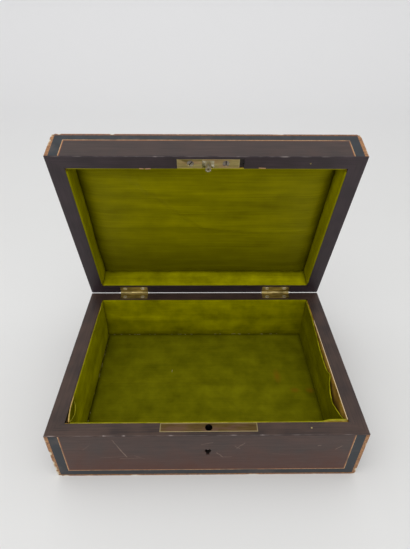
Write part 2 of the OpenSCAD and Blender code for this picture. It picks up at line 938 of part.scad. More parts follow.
// Post: a square foot on the plate, riveted through it, and a round stud with a hollow end and
// a slot across it for the bolt's tongue
module link_post() {
    slot_low = tongue_z - slot_room - lid_z;
    color("#b9b096") on_lid() translate([lock_x, post_y, 0]) difference() {
        union() {
            translate([0, 0, link_sink / 2]) cube([foot_w, foot_d, link_sink], center = true);
            translate([0, 0, -post_l]) cylinder(h = post_l, r = post_r);
            cylinder(h = link_sink + link_t, r = post_rivet_r - play);
        }
        translate([-post_r - over, -bolt_t / 2 - slot_room, slot_low])
            cube([2 * (post_r + over), bolt_t + 2 * slot_room, tongue_h + 2 * slot_room]);
        translate([0, 0, -post_l - over]) cylinder(h = post_bore_l + over, r = post_bore_r);
    }
}

module link_screws() {
    color("#b9b3a2") on_lid() {
        link_screw_place(-1) screw(link_head_r, screw_l, left_slot_turn);
        link_screw_place(1) screw(link_head_r, screw_l, right_slot_turn);
    }
}

base_board();
base_front_wall();
base_back_wall();
base_left_wall();
base_right_wall();
base_front_veneer();
base_back_veneer();
base_left_veneer();
base_right_veneer();
base_banding();
base_stringing();
base_corner_strips();
base_bottom_strips();
base_rim();
base_lining_cards();
base_floor_card();
base_floor_silk();
base_front_silk();
base_back_silk();
base_left_silk();
base_right_silk();
lock_plate();
lock_case();
lock_bolt();
lock_spring();
key_pin();
guide_studs();
lock_screws();
hinge_base_leaves();
hinge_pins();
hinge_base_screws();
hinge_lid_leaves();
hinge_lid_screws();
lid_top_board();
lid_front_wall();
lid_back_wall();
lid_left_wall();
lid_right_wall();
lid_top_veneer();
lid_front_veneer();
lid_back_veneer();
lid_left_veneer();
lid_right_veneer();
lid_banding();
lid_stringing();
lid_corner_strips();
lid_top_strips();
lid_rim();
lid_lining_cards();
lid_panel_card();
lid_panel_silk();
lid_front_silk();
lid_back_silk();
lid_left_silk();
lid_right_silk();
link_plate();
link_post();
link_screws();
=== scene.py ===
# An old stationery box, standing open: a veneered case with inlaid lines, brass lock and hinges, and
# a lining of olive green silk. Lengths are in metres, and patterns are drawn in millimetres.
import json
import math
import random

import bmesh
import bpy
from mathutils import Matrix, Vector, noise

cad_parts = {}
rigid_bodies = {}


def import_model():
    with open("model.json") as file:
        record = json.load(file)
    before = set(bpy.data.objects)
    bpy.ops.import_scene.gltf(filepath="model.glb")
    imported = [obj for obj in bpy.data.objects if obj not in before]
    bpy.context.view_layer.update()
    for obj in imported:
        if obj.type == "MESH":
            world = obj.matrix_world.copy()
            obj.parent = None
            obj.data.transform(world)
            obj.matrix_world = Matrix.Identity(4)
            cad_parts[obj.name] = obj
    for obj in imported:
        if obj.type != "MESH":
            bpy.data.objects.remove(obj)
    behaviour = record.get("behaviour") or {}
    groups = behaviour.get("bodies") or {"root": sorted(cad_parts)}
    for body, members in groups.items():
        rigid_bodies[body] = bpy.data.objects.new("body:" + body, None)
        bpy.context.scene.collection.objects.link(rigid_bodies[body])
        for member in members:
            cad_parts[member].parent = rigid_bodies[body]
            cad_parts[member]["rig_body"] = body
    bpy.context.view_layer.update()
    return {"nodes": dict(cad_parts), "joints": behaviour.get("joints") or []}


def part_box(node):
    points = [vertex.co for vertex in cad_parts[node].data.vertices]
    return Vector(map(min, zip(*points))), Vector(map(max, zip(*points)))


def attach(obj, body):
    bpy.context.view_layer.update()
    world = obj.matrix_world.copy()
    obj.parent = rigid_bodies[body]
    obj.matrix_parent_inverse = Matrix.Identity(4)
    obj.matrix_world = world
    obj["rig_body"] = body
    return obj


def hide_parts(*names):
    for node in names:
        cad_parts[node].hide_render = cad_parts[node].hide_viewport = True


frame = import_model()
scene = bpy.context.scene
MM = 0.001


# Camera
# A phone held above the front of the box and tipped well down, so the box's sides run together
# towards the back. The lens is the phone's ordinary one.
LENS = 27.05
RISE = 0.0152
EYE = Vector((-5.9, -274.2, 335.5)) * MM
TILT = [53.860, -0.355, -0.666]

camera_data = bpy.data.cameras.new("camera")
camera_data.lens = LENS
camera_data.shift_y = RISE
camera_data.clip_start = 0.01
camera = bpy.data.objects.new("camera", camera_data)
camera.location = EYE
camera.rotation_euler = [math.radians(angle) for angle in TILT]
scene.collection.objects.link(camera)
scene.camera = camera


# Floor and backdrop
# One sheet of pale matte paper that lies under the box and curves up behind it, with no seam.
def srgb(code):
    """Linear red, green, blue and alpha of an sRGB hex colour."""
    parts = [int(code[i:i + 2], 16) / 255 for i in (1, 3, 5)]
    return [c / 12.92 if c <= 0.04045 else ((c + 0.055) / 1.055) ** 2.4 for c in parts] + [1.0]


def add(tree, kind, inputs=None, take=None, **settings):
    """Adds a node with its settings. An input takes a value, or the socket that feeds it. It gives
    back the output to take, or else the first one that these settings use."""
    made = tree.nodes.new("ShaderNode" + kind)
    for name, value in settings.items():
        setattr(made, name, value)
    for name, value in (inputs or {}).items():
        if isinstance(value, bpy.types.NodeSocket):
            tree.links.new(value, made.inputs[name])
        else:
            made.inputs[name].default_value = value
    return made.outputs[take] if take else [out for out in made.outputs if out.enabled][0]


def finish_of(name, **values):
    """A new material with its node tree and its shader, whose own sockets take the values given."""
    made = bpy.data.materials.new(name)
    made.use_nodes = True
    shader = made.node_tree.nodes["Principled BSDF"]
    for socket, value in values.items():
        shader.inputs[socket.replace("_", " ")].default_value = value
    return made, made.node_tree, shader


# Numbers of the colour mix's inputs
FACTOR, FIRST, SECOND = 0, 6, 7
PAPER = "#e3e3e2"
PAPER_FAR = "#f0f0f1"
PAPER_WIDE = 5.0
PAPER_FRONT = -2.0
PAPER_BEND = 1.1
BEND_R = 0.7
PAPER_TOP = 3.0

paper, tree, shader = finish_of("matte_paper", Roughness=0.9, Specular_IOR_Level=0.2)
# The paper is painted lighter towards the back, as painted light that keeps the far sheet as bright as
# the near one
depth = add(tree, "SeparateXYZ", {0: add(tree, "TexCoord", take="Object")}, take="Y")
far = add(tree, "MapRange", {"Value": depth, "From Min": 0.4, "From Max": 1.6})
colour = add(tree, "Mix", {FACTOR: far, FIRST: srgb(PAPER), SECOND: srgb(PAPER_FAR)}, data_type="RGBA")
tree.links.new(colour, shader.inputs["Base Color"])
shape = bmesh.new()
corners = [shape.verts.new((x, PAPER_FRONT, 0)) for x in (-PAPER_WIDE / 2, PAPER_WIDE / 2)]
edge = shape.edges.new(corners)


def drawn_on(shape, edge, step):
    """Extrudes an edge by a step and returns the new edge."""
    out = bmesh.ops.extrude_edge_only(shape, edges=[edge])["geom"]
    bmesh.ops.translate(shape, verts=[v for v in out if isinstance(v, bmesh.types.BMVert)], vec=step)
    return [e for e in out if isinstance(e, bmesh.types.BMEdge)][0]


edge = drawn_on(shape, edge, (0, PAPER_BEND - PAPER_FRONT, 0))
bend = bmesh.ops.spin(shape, geom=[edge, *edge.verts], axis=(1, 0, 0), cent=(0, PAPER_BEND, BEND_R),
                      angle=math.pi / 2, steps=24)["geom_last"]
edge = [e for e in bend if isinstance(e, bmesh.types.BMEdge)][0]
drawn_on(shape, edge, (0, 0, PAPER_TOP - BEND_R))
bmesh.ops.recalc_face_normals(shape, faces=shape.faces)
mesh = bpy.data.meshes.new("paper_sweep")
shape.to_mesh(mesh)
shape.free()
mesh.materials.append(paper)
mesh.shade_smooth()
paper_sweep = bpy.data.objects.new("paper_sweep", mesh)
scene.collection.objects.link(paper_sweep)


# Light
# Even daylight from all round, with one large soft panel above the front of the box, so faces that
# look up are a little brighter and the shadows stay faint.
ROOM = 0.78
PANEL_WATTS = 7.0
PANEL_SIZE = 1.4
PANEL_PLACE = Vector((-0.2, -0.35, 1.3))

room = bpy.data.worlds.new("room")
room.use_nodes = True
scene.world = room
sky = room.node_tree.nodes["Background"].inputs
sky["Color"].default_value = srgb("#ffffff")
sky["Strength"].default_value = ROOM
light = bpy.data.lights.new("soft_panel", "AREA")
light.energy = PANEL_WATTS
light.size = PANEL_SIZE
lamp = bpy.data.objects.new("soft_panel", light)
lamp.location = PANEL_PLACE
lamp.rotation_euler = (-PANEL_PLACE).to_track_quat("-Z", "Y").to_euler()
scene.collection.objects.link(lamp)
scene.view_settings.view_transform = "Standard"


# Carcass
# Walls and boards of plain pale softwood, sawn and planed by hand, glued up with lapped corners. It
# shows at the underside and where the veneer or a facing has broken away.
hinge = [joint for joint in frame["joints"] if joint["type"] == "hinge"][0]
pin = Vector(hinge["pos_m"])
opened = math.radians(-hinge["range_deg"][0])
base_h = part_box("base_rim")[1].z
lid_rise = Matrix.Translation((0, 0, 2 * pin.z - base_h))
swing = Matrix.Translation(pin) @ Matrix.Rotation(-opened, 4, "X") @ Matrix.Translation(-pin)
stand = {"base": Matrix.Identity(4), "lid": swing @ lid_rise}


def case_box(node):
    """Low and high corner of a CAD node in its own half of the box, as it lies with the lid shut.
    The rim of the base is at its real height, and the rim of the lid at zero."""
    part = frame["nodes"][node]
    back = stand[part["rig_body"]].inverted()
    points = [back @ v.co for v in part.data.vertices]
    return [Vector([pick(p[i] for p in points) for i in range(3)]) for pick in (min, max)]


half_w = case_box("base_rim")[1].x
half_d = case_box("base_rim")[1].y
lid_h = case_box("lid_top_strips")[1].z
half_height = {"base": base_h, "lid": lid_h}


def case_mm(tree, body):
    """Place on the closed box, in millimetres, for a pattern on a piece of that body."""
    back = stand[body].inverted()
    return add(tree, "Mapping", {
        "Vector": add(tree, "TexCoord", take="Object"), "Location": back.translation / MM,
        "Rotation": back.to_euler(), "Scale": (1 / MM,) * 3,
    }, vector_type="POINT")


def finish_nodes(material, *names):
    """Gives CAD nodes a material in place of the plain one that they come with."""
    for name in names:
        for place in frame["nodes"][name].material_slots:
            place.material = material


GROWTH_RING = 3.2
SHADE_UNDER_RIM = 2.6
SHADE_ROUND_KEY = 9.0
SHADE_FADES = 3.0

for body in ("base", "lid"):
    softwood, tree, shader = finish_of("planed_softwood_" + body, Roughness=0.72, IOR=1.5)
    place = case_mm(tree, body)
    along = add(tree, "VectorMath", {0: place, 1: (0.05, 0.6, 0.6)}, operation="MULTIPLY")
    rings = add(tree, "TexNoise", {"Vector": along, "Scale": 1 / GROWTH_RING, "Detail": 5.0,
                                   "Distortion": 0.6})
    tone = add(tree, "MapRange", {"Value": rings, "From Min": 0.35, "From Max": 0.65})
    colour = add(tree, "Mix", {FACTOR: tone, FIRST: srgb("#8a6a42"), SECOND: srgb("#b0926a")},
                 data_type="RGBA")
    # Painted shade: the wood is dark just under the rim, in the gap behind the loose lining, and down
    # the keyhole
    height = add(tree, "SeparateXYZ", {0: place}, take="Z")
    rim = {"base": base_h / MM, "lid": 0.0}[body]
    from_rim = add(tree, "Math", {0: height, 1: rim}, operation="SUBTRACT")
    from_rim = add(tree, "Math", {0: from_rim}, operation="ABSOLUTE")
    rim_and_keyhole_shade = add(tree, "MapRange", {"Value": from_rim, "From Min": SHADE_UNDER_RIM + 1.0,
                                     "From Max": SHADE_UNDER_RIM})
    if body == "base":
        low, high = case_box("key_pin")
        key = Vector(((low.x + high.x) / 2, 0, (low.z + high.z) / 2)) / MM
        flat = add(tree, "VectorMath", {0: place, 1: (1, 0, 1)}, operation="MULTIPLY")
        from_key = add(tree, "VectorMath", {0: flat, 1: key}, operation="DISTANCE")
        round_key = add(tree, "MapRange", {
            "Value": from_key, "From Min": SHADE_ROUND_KEY + SHADE_FADES, "From Max": SHADE_ROUND_KEY,
        })
        rim_and_keyhole_shade = add(tree, "Math", {0: rim_and_keyhole_shade, 1: round_key}, operation="MAXIMUM")
    colour = add(tree, "Mix", {FACTOR: rim_and_keyhole_shade, FIRST: colour, SECOND: srgb("#241a17")},
                 data_type="RGBA")
    tree.links.new(colour, shader.inputs["Base Color"])
    walls = [f"{body}_{side}_wall" for side in ("front", "back", "left", "right")]
    finish_nodes(softwood, *walls, {"base": "base_board", "lid": "lid_top_board"}[body])


# Veneered fields
# Dark stained veneer, about a millimetre thick, glued to each face with its grain running level. Its
# old polish is dull and hazy, redder low down, with hair scratches where things have rubbed it.
VENEER_DARK = {"base": "#33241f", "lid": "#2c211f"}
VENEER_LIGHT = {"base": "#4e3932", "lid": "#45342f"}
VENEER_RED = "#552c1d"
FIBRE = 0.9
CLOUD = 22.0
WOBBLE = 1.6
# Each scratch on the front runs between two places across and up, and has a width and a strength
SCRATCHES = [
    (-73.4, 51.0, -69.5, 40.5, 0.45, 0.75), (-69.8, 41.0, -64.4, 27.6, 0.6, 1.0),
    (-86.0, 26.6, -66.0, 28.4, 0.35, 0.45), (-70.0, 25.2, -54.0, 26.2, 0.4, 0.6),
    (-58.5, 29.5, -50.5, 25.0, 0.35, 0.5), (23.3, 39.0, 29.1, 45.9, 0.7, 0.6),
    (21.5, 42.0, 25.5, 38.2, 0.6, 0.5), (7.5, 33.0, 12.6, 26.6, 0.6, 0.8),
    (12.6, 26.6, 19.8, 27.4, 0.5, 0.45), (-4.8, 44.0, 3.8, 46.8, 0.8, 0.4),
    (101.6, 36.4, 106.2, 41.2, 0.5, 0.8), (86.9, 41.8, 89.0, 42.0, 0.8, 0.7),
    (-98.0, 38.0, -92.0, 44.0, 0.4, 0.35), (52.0, 31.0, 66.0, 29.0, 0.35, 0.35),
]


def scratch_lines(tree, place, lines):
    """How strongly a place on the front is scratched, from 0 to 1."""
    shake = add(tree, "TexNoise", {"Vector": place, "Scale": 0.35, "Detail": 2.0}, take="Color")
    shaken = add(tree, "VectorMath", {0: shake, 1: (WOBBLE, 0, WOBBLE), 2: place},
                 operation="MULTIPLY_ADD")
    flat = add(tree, "VectorMath", {0: shaken, 1: (1, 0, 1)}, operation="MULTIPLY")
    total = 0.0
    for x0, z0, x1, z1, width, strength in lines:
        # The wobble's mean is half its size, so the line is drawn as far off
        start = Vector((x0 + WOBBLE / 2, 0, z0 + WOBBLE / 2))
        run = Vector((x1 - x0, 0, z1 - z0))
        offset = add(tree, "VectorMath", {0: flat, 1: start}, operation="SUBTRACT")
        share = add(tree, "VectorMath", {0: offset, 1: run / run.length_squared},
                    operation="DOT_PRODUCT")
        held = add(tree, "Clamp", {"Value": share})
        nearest = add(tree, "VectorMath", {0: run, "Scale": held}, operation="SCALE")
        away = add(tree, "VectorMath", {0: offset, 1: nearest}, operation="DISTANCE")
        line = add(tree, "MapRange", {"Value": away, "From Min": width, "From Max": 0.0,
                                      "To Max": strength})
        total = add(tree, "Math", {0: total, 1: line}, operation="MAXIMUM")
    return total


def veneer(name, body, run, lines=()):
    """Dull polished veneer: run scales the pattern so that the grain follows the face."""
    made, tree, shader = finish_of(name, IOR=1.5, Specular_IOR_Level=0.45)
    place = case_mm(tree, body)
    along = add(tree, "VectorMath", {0: place, 1: run}, operation="MULTIPLY")
    fibre = add(tree, "TexNoise", {"Vector": along, "Scale": 1 / FIBRE, "Detail": 4.0,
                                   "Roughness": 0.65})
    cloud = add(tree, "TexNoise", {"Vector": place, "Scale": 1 / CLOUD, "Detail": 3.0,
                                   "Distortion": 0.4})
    mixed = add(tree, "Math", {0: cloud, 1: 0.4}, operation="MULTIPLY")
    mixed = add(tree, "Math", {0: fibre, 1: 0.6, 2: mixed}, operation="MULTIPLY_ADD")
    tone = add(tree, "MapRange", {"Value": mixed, "From Min": 0.36, "From Max": 0.64})
    colour = add(tree, "Mix", {FACTOR: tone, FIRST: srgb(VENEER_DARK[body]),
                               SECOND: srgb(VENEER_LIGHT[body])}, data_type="RGBA")
    if body == "base":
        height = add(tree, "SeparateXYZ", {0: place}, take="Z")
        uneven = add(tree, "Math", {0: cloud, 1: -26.0, 2: height}, operation="MULTIPLY_ADD")
        low = add(tree, "MapRange", {"Value": uneven, "From Min": 26.0, "From Max": -8.0,
                                     "To Max": 0.75})
        colour = add(tree, "Mix", {FACTOR: low, FIRST: colour, SECOND: srgb(VENEER_RED)},
                     data_type="RGBA")
    if lines:
        rubbed_and_highlit = scratch_lines(tree, place, lines)
        share = add(tree, "Math", {0: rubbed_and_highlit, 1: 0.55}, operation="MULTIPLY")
        colour = add(tree, "Mix", {FACTOR: share, FIRST: colour, SECOND: srgb("#9c8577")},
                     data_type="RGBA")
    tree.links.new(colour, shader.inputs["Base Color"])
    haze = add(tree, "MapRange", {"Value": cloud, "From Min": 0.3, "From Max": 0.7, "To Min": 0.42,
                                  "To Max": 0.58})
    tree.links.new(haze, shader.inputs["Roughness"])
    bump = add(tree, "Bump", {"Height": fibre, "Strength": 0.12, "Distance": 0.1 * MM})
    tree.links.new(bump, shader.inputs["Normal"])
    return made


LEVEL = (0.035, 0.035, 1.0)
FLAT = (0.035, 1.0, 0.035)
finish_nodes(veneer("dull_polished_veneer_front", "base", LEVEL, SCRATCHES), "base_front_veneer")
finish_nodes(veneer("dull_polished_veneer_base", "base", LEVEL),
             "base_back_veneer", "base_left_veneer", "base_right_veneer")
finish_nodes(veneer("dull_polished_veneer_lid", "lid", LEVEL),
             "lid_front_veneer", "lid_back_veneer", "lid_left_veneer", "lid_right_veneer")
finish_nodes(veneer("dull_polished_veneer_top", "lid", FLAT), "lid_top_veneer")


# Banding
# Strips of veneer dyed blue-black, between the light line and the edge of each face. The dye has
# turned teal in places and let brown through in others.
for body in ("base", "lid"):
    banding, tree, shader = finish_of("blue_black_dyed_banding_" + body, IOR=1.5, Specular_IOR_Level=0.4)
    place = case_mm(tree, body)
    mottle = add(tree, "TexNoise", {"Vector": place, "Scale": 0.16, "Detail": 4.0, "Roughness": 0.6})
    patch = add(tree, "TexNoise", {"Vector": place, "Scale": 0.07, "Detail": 2.0})
    tone = add(tree, "MapRange", {"Value": mottle, "From Min": 0.35, "From Max": 0.65})
    blue = add(tree, "Mix", {FACTOR: tone, FIRST: srgb("#1e2226"), SECOND: srgb("#2f343a")},
               data_type="RGBA")
    worn_share = add(tree, "MapRange", {"Value": patch, "From Min": 0.55, "From Max": 0.72,
                                        "To Max": 0.6})
    colour = add(tree, "Mix", {FACTOR: worn_share, FIRST: blue, SECOND: srgb("#4a4340")},
                 data_type="RGBA")
    tree.links.new(colour, shader.inputs["Base Color"])
    gloss = add(tree, "MapRange", {"Value": mottle, "From Min": 0.3, "From Max": 0.7, "To Min": 0.4,
                                   "To Max": 0.6})
    tree.links.new(gloss, shader.inputs["Roughness"])
    finish_nodes(banding, body + "_banding")


# Light lines
# A square line of pale wood let in between field and banding, with a red-brown line against the
# field. Dirt has filled parts of it.
STRING_SIDE = 10.4
STRING_UP = 8.1
PALE_LINE = 0.6


def across_line(tree, place, body):
    """Distance in millimetres from the outer edge of the light line, on any face."""
    size = add(tree, "VectorMath", {0: place}, operation="ABSOLUTE")
    parts = add(tree, "SeparateXYZ", {0: size}).node.outputs
    outer_in = (half_w - case_box(body + "_stringing")[1].x) / MM
    side = add(tree, "Math", {0: half_w / MM, 1: parts["X"]}, operation="SUBTRACT")
    end = add(tree, "Math", {0: half_d / MM, 1: parts["Y"]}, operation="SUBTRACT")
    closed = {"base": 0.0, "lid": lid_h / MM}[body]
    rise = add(tree, "Math", {0: parts["Z"], 1: closed}, operation="SUBTRACT")
    level = add(tree, "Math", {0: rise}, operation="ABSOLUTE")
    level = add(tree, "Math", {0: level, 1: STRING_SIDE - STRING_UP}, operation="ADD")
    least = add(tree, "Math", {0: side, 1: end}, operation="MINIMUM")
    most = add(tree, "Math", {0: side, 1: end}, operation="MAXIMUM")
    middle = add(tree, "Math", {0: most, 1: level}, operation="MINIMUM")
    median = add(tree, "Math", {0: least, 1: middle}, operation="MAXIMUM")
    return add(tree, "Math", {0: median, 1: STRING_SIDE + outer_in}, operation="SUBTRACT")


for body in ("base", "lid"):
    stringing, tree, shader = finish_of("pale_and_red_stringing_" + body, Roughness=0.5, IOR=1.5)
    place = case_mm(tree, body)
    across = across_line(tree, place, body)
    speck = add(tree, "TexNoise", {"Vector": place, "Scale": 0.5, "Detail": 3.0})
    dirt_and_painted_shade = add(tree, "TexNoise", {"Vector": place, "Scale": 0.06, "Detail": 3.0})
    pale_tone = add(tree, "MapRange", {"Value": speck, "From Min": 0.3, "From Max": 0.7})
    pale = add(tree, "Mix", {FACTOR: pale_tone, FIRST: srgb("#a0784a"), SECOND: srgb("#cca678")},
               data_type="RGBA")
    red_share = add(tree, "MapRange", {"Value": across, "From Min": PALE_LINE - 0.15,
                                       "From Max": PALE_LINE + 0.1})
    lines = add(tree, "Mix", {FACTOR: red_share, FIRST: pale, SECOND: srgb("#7d4326")},
                data_type="RGBA")
    filled = add(tree, "MapRange", {"Value": dirt_and_painted_shade, "From Min": 0.52, "From Max": 0.66, "To Max": 0.7})
    colour = add(tree, "Mix", {FACTOR: filled, FIRST: lines, SECOND: srgb("#5b4538")},
                 data_type="RGBA")
    tree.links.new(colour, shader.inputs["Base Color"])
    finish_nodes(stringing, body + "_stringing")


# Corner and edge strips
# Square strips of light brown wood glued into rebates along the outer arrises. Years of handling
# have rounded them and knocked chips off the ends, down to pale bare wood. Their arrises also carry
# a painted highlight.
def on_planes(point, body):
    """The outer faces of a half of the box that a point lies on or very near."""
    near = 0.01 * MM
    found = set()
    if abs(abs(point.x) - half_w) < near:
        found.add("side")
    if abs(abs(point.y) - half_d) < near:
        found.add("end")
    if abs(point.z) < near or abs(point.z - half_height[body]) < near:
        found.add("level")
    return found


def inwards(point, body, reach):
    """Directions into the wood from each outer face that a point is within reach of."""
    steps = []
    if half_w - abs(point.x) < reach:
        steps.append(Vector((-math.copysign(1, point.x), 0, 0)))
    if half_d - abs(point.y) < reach:
        steps.append(Vector((0, -math.copysign(1, point.y), 0)))
    if point.z < reach:
        steps.append(Vector((0, 0, 1)))
    if half_height[body] - point.z < reach:
        steps.append(Vector((0, 0, -1)))
    return steps


def piece(name, shape, material, body):
    """Makes an object of a shape drawn on the closed box, and lets it ride on its body."""
    shape.transform(stand[body])
    mesh = bpy.data.meshes.new(name)
    shape.to_mesh(mesh)
    shape.free()
    mesh.materials.append(material)
    mesh.shade_smooth()
    mesh.set_sharp_from_angle(angle=math.radians(20))
    made = bpy.data.objects.new(name, mesh)
    scene.collection.objects.link(made)
    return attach(made, body)


def merged_copy(node):
    """A copy of a CAD node's mesh on the closed box, with its points merged and flat faces joined."""
    part = frame["nodes"][node]
    shape = bmesh.new()
    shape.from_mesh(part.data)
    shape.transform(stand[part["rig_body"]].inverted())
    bmesh.ops.remove_doubles(shape, verts=shape.verts, dist=0.001 * MM)
    bmesh.ops.dissolve_limit(shape, angle_limit=math.radians(1), verts=shape.verts, edges=shape.edges)
    return shape


def cut_across(shape, axis, places):
    """Cuts every face of a shape at places along an axis, so that it can bend or wear there."""
    normal = Vector([1.0 if i == axis else 0.0 for i in range(3)])
    for place in places:
        bmesh.ops.bisect_plane(shape, geom=shape.verts[:] + shape.edges[:] + shape.faces[:],
                               plane_co=normal * place, plane_no=normal)


def worn(node, axes, step, round_off, rub, chips, keep_back=False):
    """A CAD strip with its outer arrises rounded, rubbed unevenly and chipped, and painted pale along
    them as a highlight. Each chip has a place on the closed box, a radius and a depth, all in
    millimetres."""
    body = frame["nodes"][node]["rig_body"]
    shape = merged_copy(node)
    arrises = [e for e in shape.edges
               if len(on_planes(e.verts[0].co, body) & on_planes(e.verts[1].co, body)) > 1
               and not (keep_back and min(v.co.y for v in e.verts) > half_d - 0.01 * MM)]
    bmesh.ops.bevel(shape, geom=arrises, offset=round_off, offset_type="OFFSET", affect="EDGES",
                    segments=3, profile=0.5, material=-1, clamp_overlap=True)
    for axis in axes:
        low = min(v.co[axis] for v in shape.verts)
        high = max(v.co[axis] for v in shape.verts)
        count = round((high - low) / step)
        cut_across(shape, axis, [low + (high - low) * i / count for i in range(1, count)])
    wear = shape.verts.layers.float.new("wear")
    reach = 1.3 * round_off
    for v in shape.verts:
        steps = inwards(v.co, body, reach)
        if len(steps) < 2 or (keep_back and half_d - v.co.y < reach):
            continue
        rough = noise.noise(v.co / (4.0 * MM)) + 0.5 * noise.noise(v.co / (1.3 * MM))
        loss = rub * max(0.0, rough)
        # Every arris starts part way to pale as a painted highlight, and rubbing and chips add real wear
        # to it
        rubbed_and_highlit = 0.3 + 0.35 * noise.noise(v.co / (8.0 * MM))
        for x, y, z, radius, depth in chips:
            away = (v.co - Vector((x, y, z)) * MM).length / (radius * MM)
            if away < 1:
                loss += depth * MM * (1 - away * away) * (0.9 + 0.3 * noise.noise(v.co / (1.5 * MM)))
        v.co += sum(steps, Vector()).normalized() * loss
        v[wear] = max(0.0, min(1.0, rubbed_and_highlit + loss / (0.35 * MM)))
    return shape


STRIP_COLOUR = {"corner_strips": ("#7e5433", "#b07c4a"), "bottom_strips": ("#744a2c", "#a0703f"),
                "top_strips": ("#643c24", "#8a5a36")}
BARE_WOOD_AND_HIGHLIGHT = "#d6c8aa"


def strip_wood(name, body, tones):
    """Light brown wood under worn polish, pale and dry where the wear attribute says it is chipped, and
    pale along the arrises where that attribute holds a painted highlight.
    """
    made, tree, shader = finish_of(name, IOR=1.5)
    place = case_mm(tree, body)
    fleck = add(tree, "TexNoise", {"Vector": place, "Scale": 0.45, "Detail": 4.0})
    tone = add(tree, "MapRange", {"Value": fleck, "From Min": 0.35, "From Max": 0.65})
    wood = add(tree, "Mix", {FACTOR: tone, FIRST: srgb(tones[0]), SECOND: srgb(tones[1])},
               data_type="RGBA")
    wear = add(tree, "Attribute", take="Fac", attribute_name="wear")
    uneven = add(tree, "Math", {0: fleck, 1: 0.5, 2: wear}, operation="MULTIPLY_ADD")
    # Pale where chipped, and pale along the arrises as a painted highlight
    bare_and_highlit = add(tree, "MapRange", {"Value": uneven, "From Min": 0.6, "From Max": 1.0})
    colour = add(tree, "Mix", {FACTOR: bare_and_highlit, FIRST: wood, SECOND: srgb(BARE_WOOD_AND_HIGHLIGHT)},
                 data_type="RGBA")
    tree.links.new(colour, shader.inputs["Base Color"])
    dry = add(tree, "MapRange", {"Value": bare_and_highlit, "To Min": 0.5, "To Max": 0.85})
    tree.links.new(dry, shader.inputs["Roughness"])
    return made


STRIP_STEP = 1.0
STRIP_ROUND = 0.35
STRIP_RUB = 0.05
STRIP_CHIPS = {
    "base_corner_strips": [
        (-125, -89, 33, 3.0, 0.4), (-125, -89, 20, 3, 0.2), (-125, -89, 11, 3, 0.35),
        (-125, -89, 4, 3.5, 0.5), (125, -89, 7, 2, 0.2), (-125, 89, 26, 4, 0.3), (125, 89, 40, 3, 0.3),
    ],
    "base_bottom_strips": [
        (-125, -89, 0, 4, 0.7), (-118, -89, 0, 2.5, 0.3), (125, -89, 0, 2.5, 0.3),
        (-60, -89, 0, 4, 0.2), (38, -89, 0, 6, 0.2), (-125, 30, 0, 4, 0.4), (125, -20, 0, 4, 0.4),
        (20, 89, 0, 5, 0.4),
    ],
    "lid_corner_strips": [
        (-125, -89, 28, 3, 0.5), (-125, -89, 20, 2.5, 0.2), (125, -89, 28, 2.5, 0.4),
        (-125, 89, 12, 4, 0.3), (125, 89, 22, 4, 0.3),
    ],
    "lid_top_strips": [
        (-125, -89, 29.5, 3, 0.7), (-119, -89, 29.5, 2, 0.3), (-76, -89, 29.5, 1.4, 0.4),
        (125, -89, 29.5, 3, 0.6), (60, -89, 29.5, 3, 0.2), (-125, -20, 29.5, 4, 0.4),
        (125, 30, 29.5, 4, 0.4), (-30, 89, 29.5, 5, 0.4),
    ],
}

for node, chips in STRIP_CHIPS.items():
    body, part = node.split("_", 1)
    material = strip_wood(f"worn_light_wood_{node}", body, STRIP_COLOUR[part])
    axes = [2] if part == "corner_strips" else [0, 1]
    shape = worn(node, axes, STRIP_STEP * MM, STRIP_ROUND * MM, STRIP_RUB * MM, chips)
    made = piece("worn_" + node, shape, material, body)
    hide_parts(node)


# Rim facings
# Thin strips of dark wood glued on the tops of the walls, mitred at the corners. Their outer arrises
# are rubbed light and carry a painted highlight, with small bits broken out at the front, and their
# back edges stand a little proud.
RIM_DARK = {"base": "#2e211e", "lid": "#271c20"}
RIM_LIGHT = {"base": "#49362e", "lid": "#382b30"}
RIM_STEP = 1.2
RIM_ROUND = 0.3
RIM_RUB = 0.06
PROUD = {"base": 0.4, "lid": 0.8}
HINGE_LONG = 30.0
HINGE_FREE = 1.0
RIM_CHIPS = {
    "base": [(-119, -89, 56, 3.5, 0.2), (-79, -89, 56, 1.3, 0.3), (-64, -89, 56, 1.2, 0.35),
             (20, -89, 56, 2.5, 0.15), (42, -89, 56, 2.0, 0.12), (-28, -89, 56, 2, 0.15)],
    "lid": [(-40, -89, 0, 2, 0.15), (24, -89, 0, 1.5, 0.12), (60, -89, 0, 3, 0.12)],
}


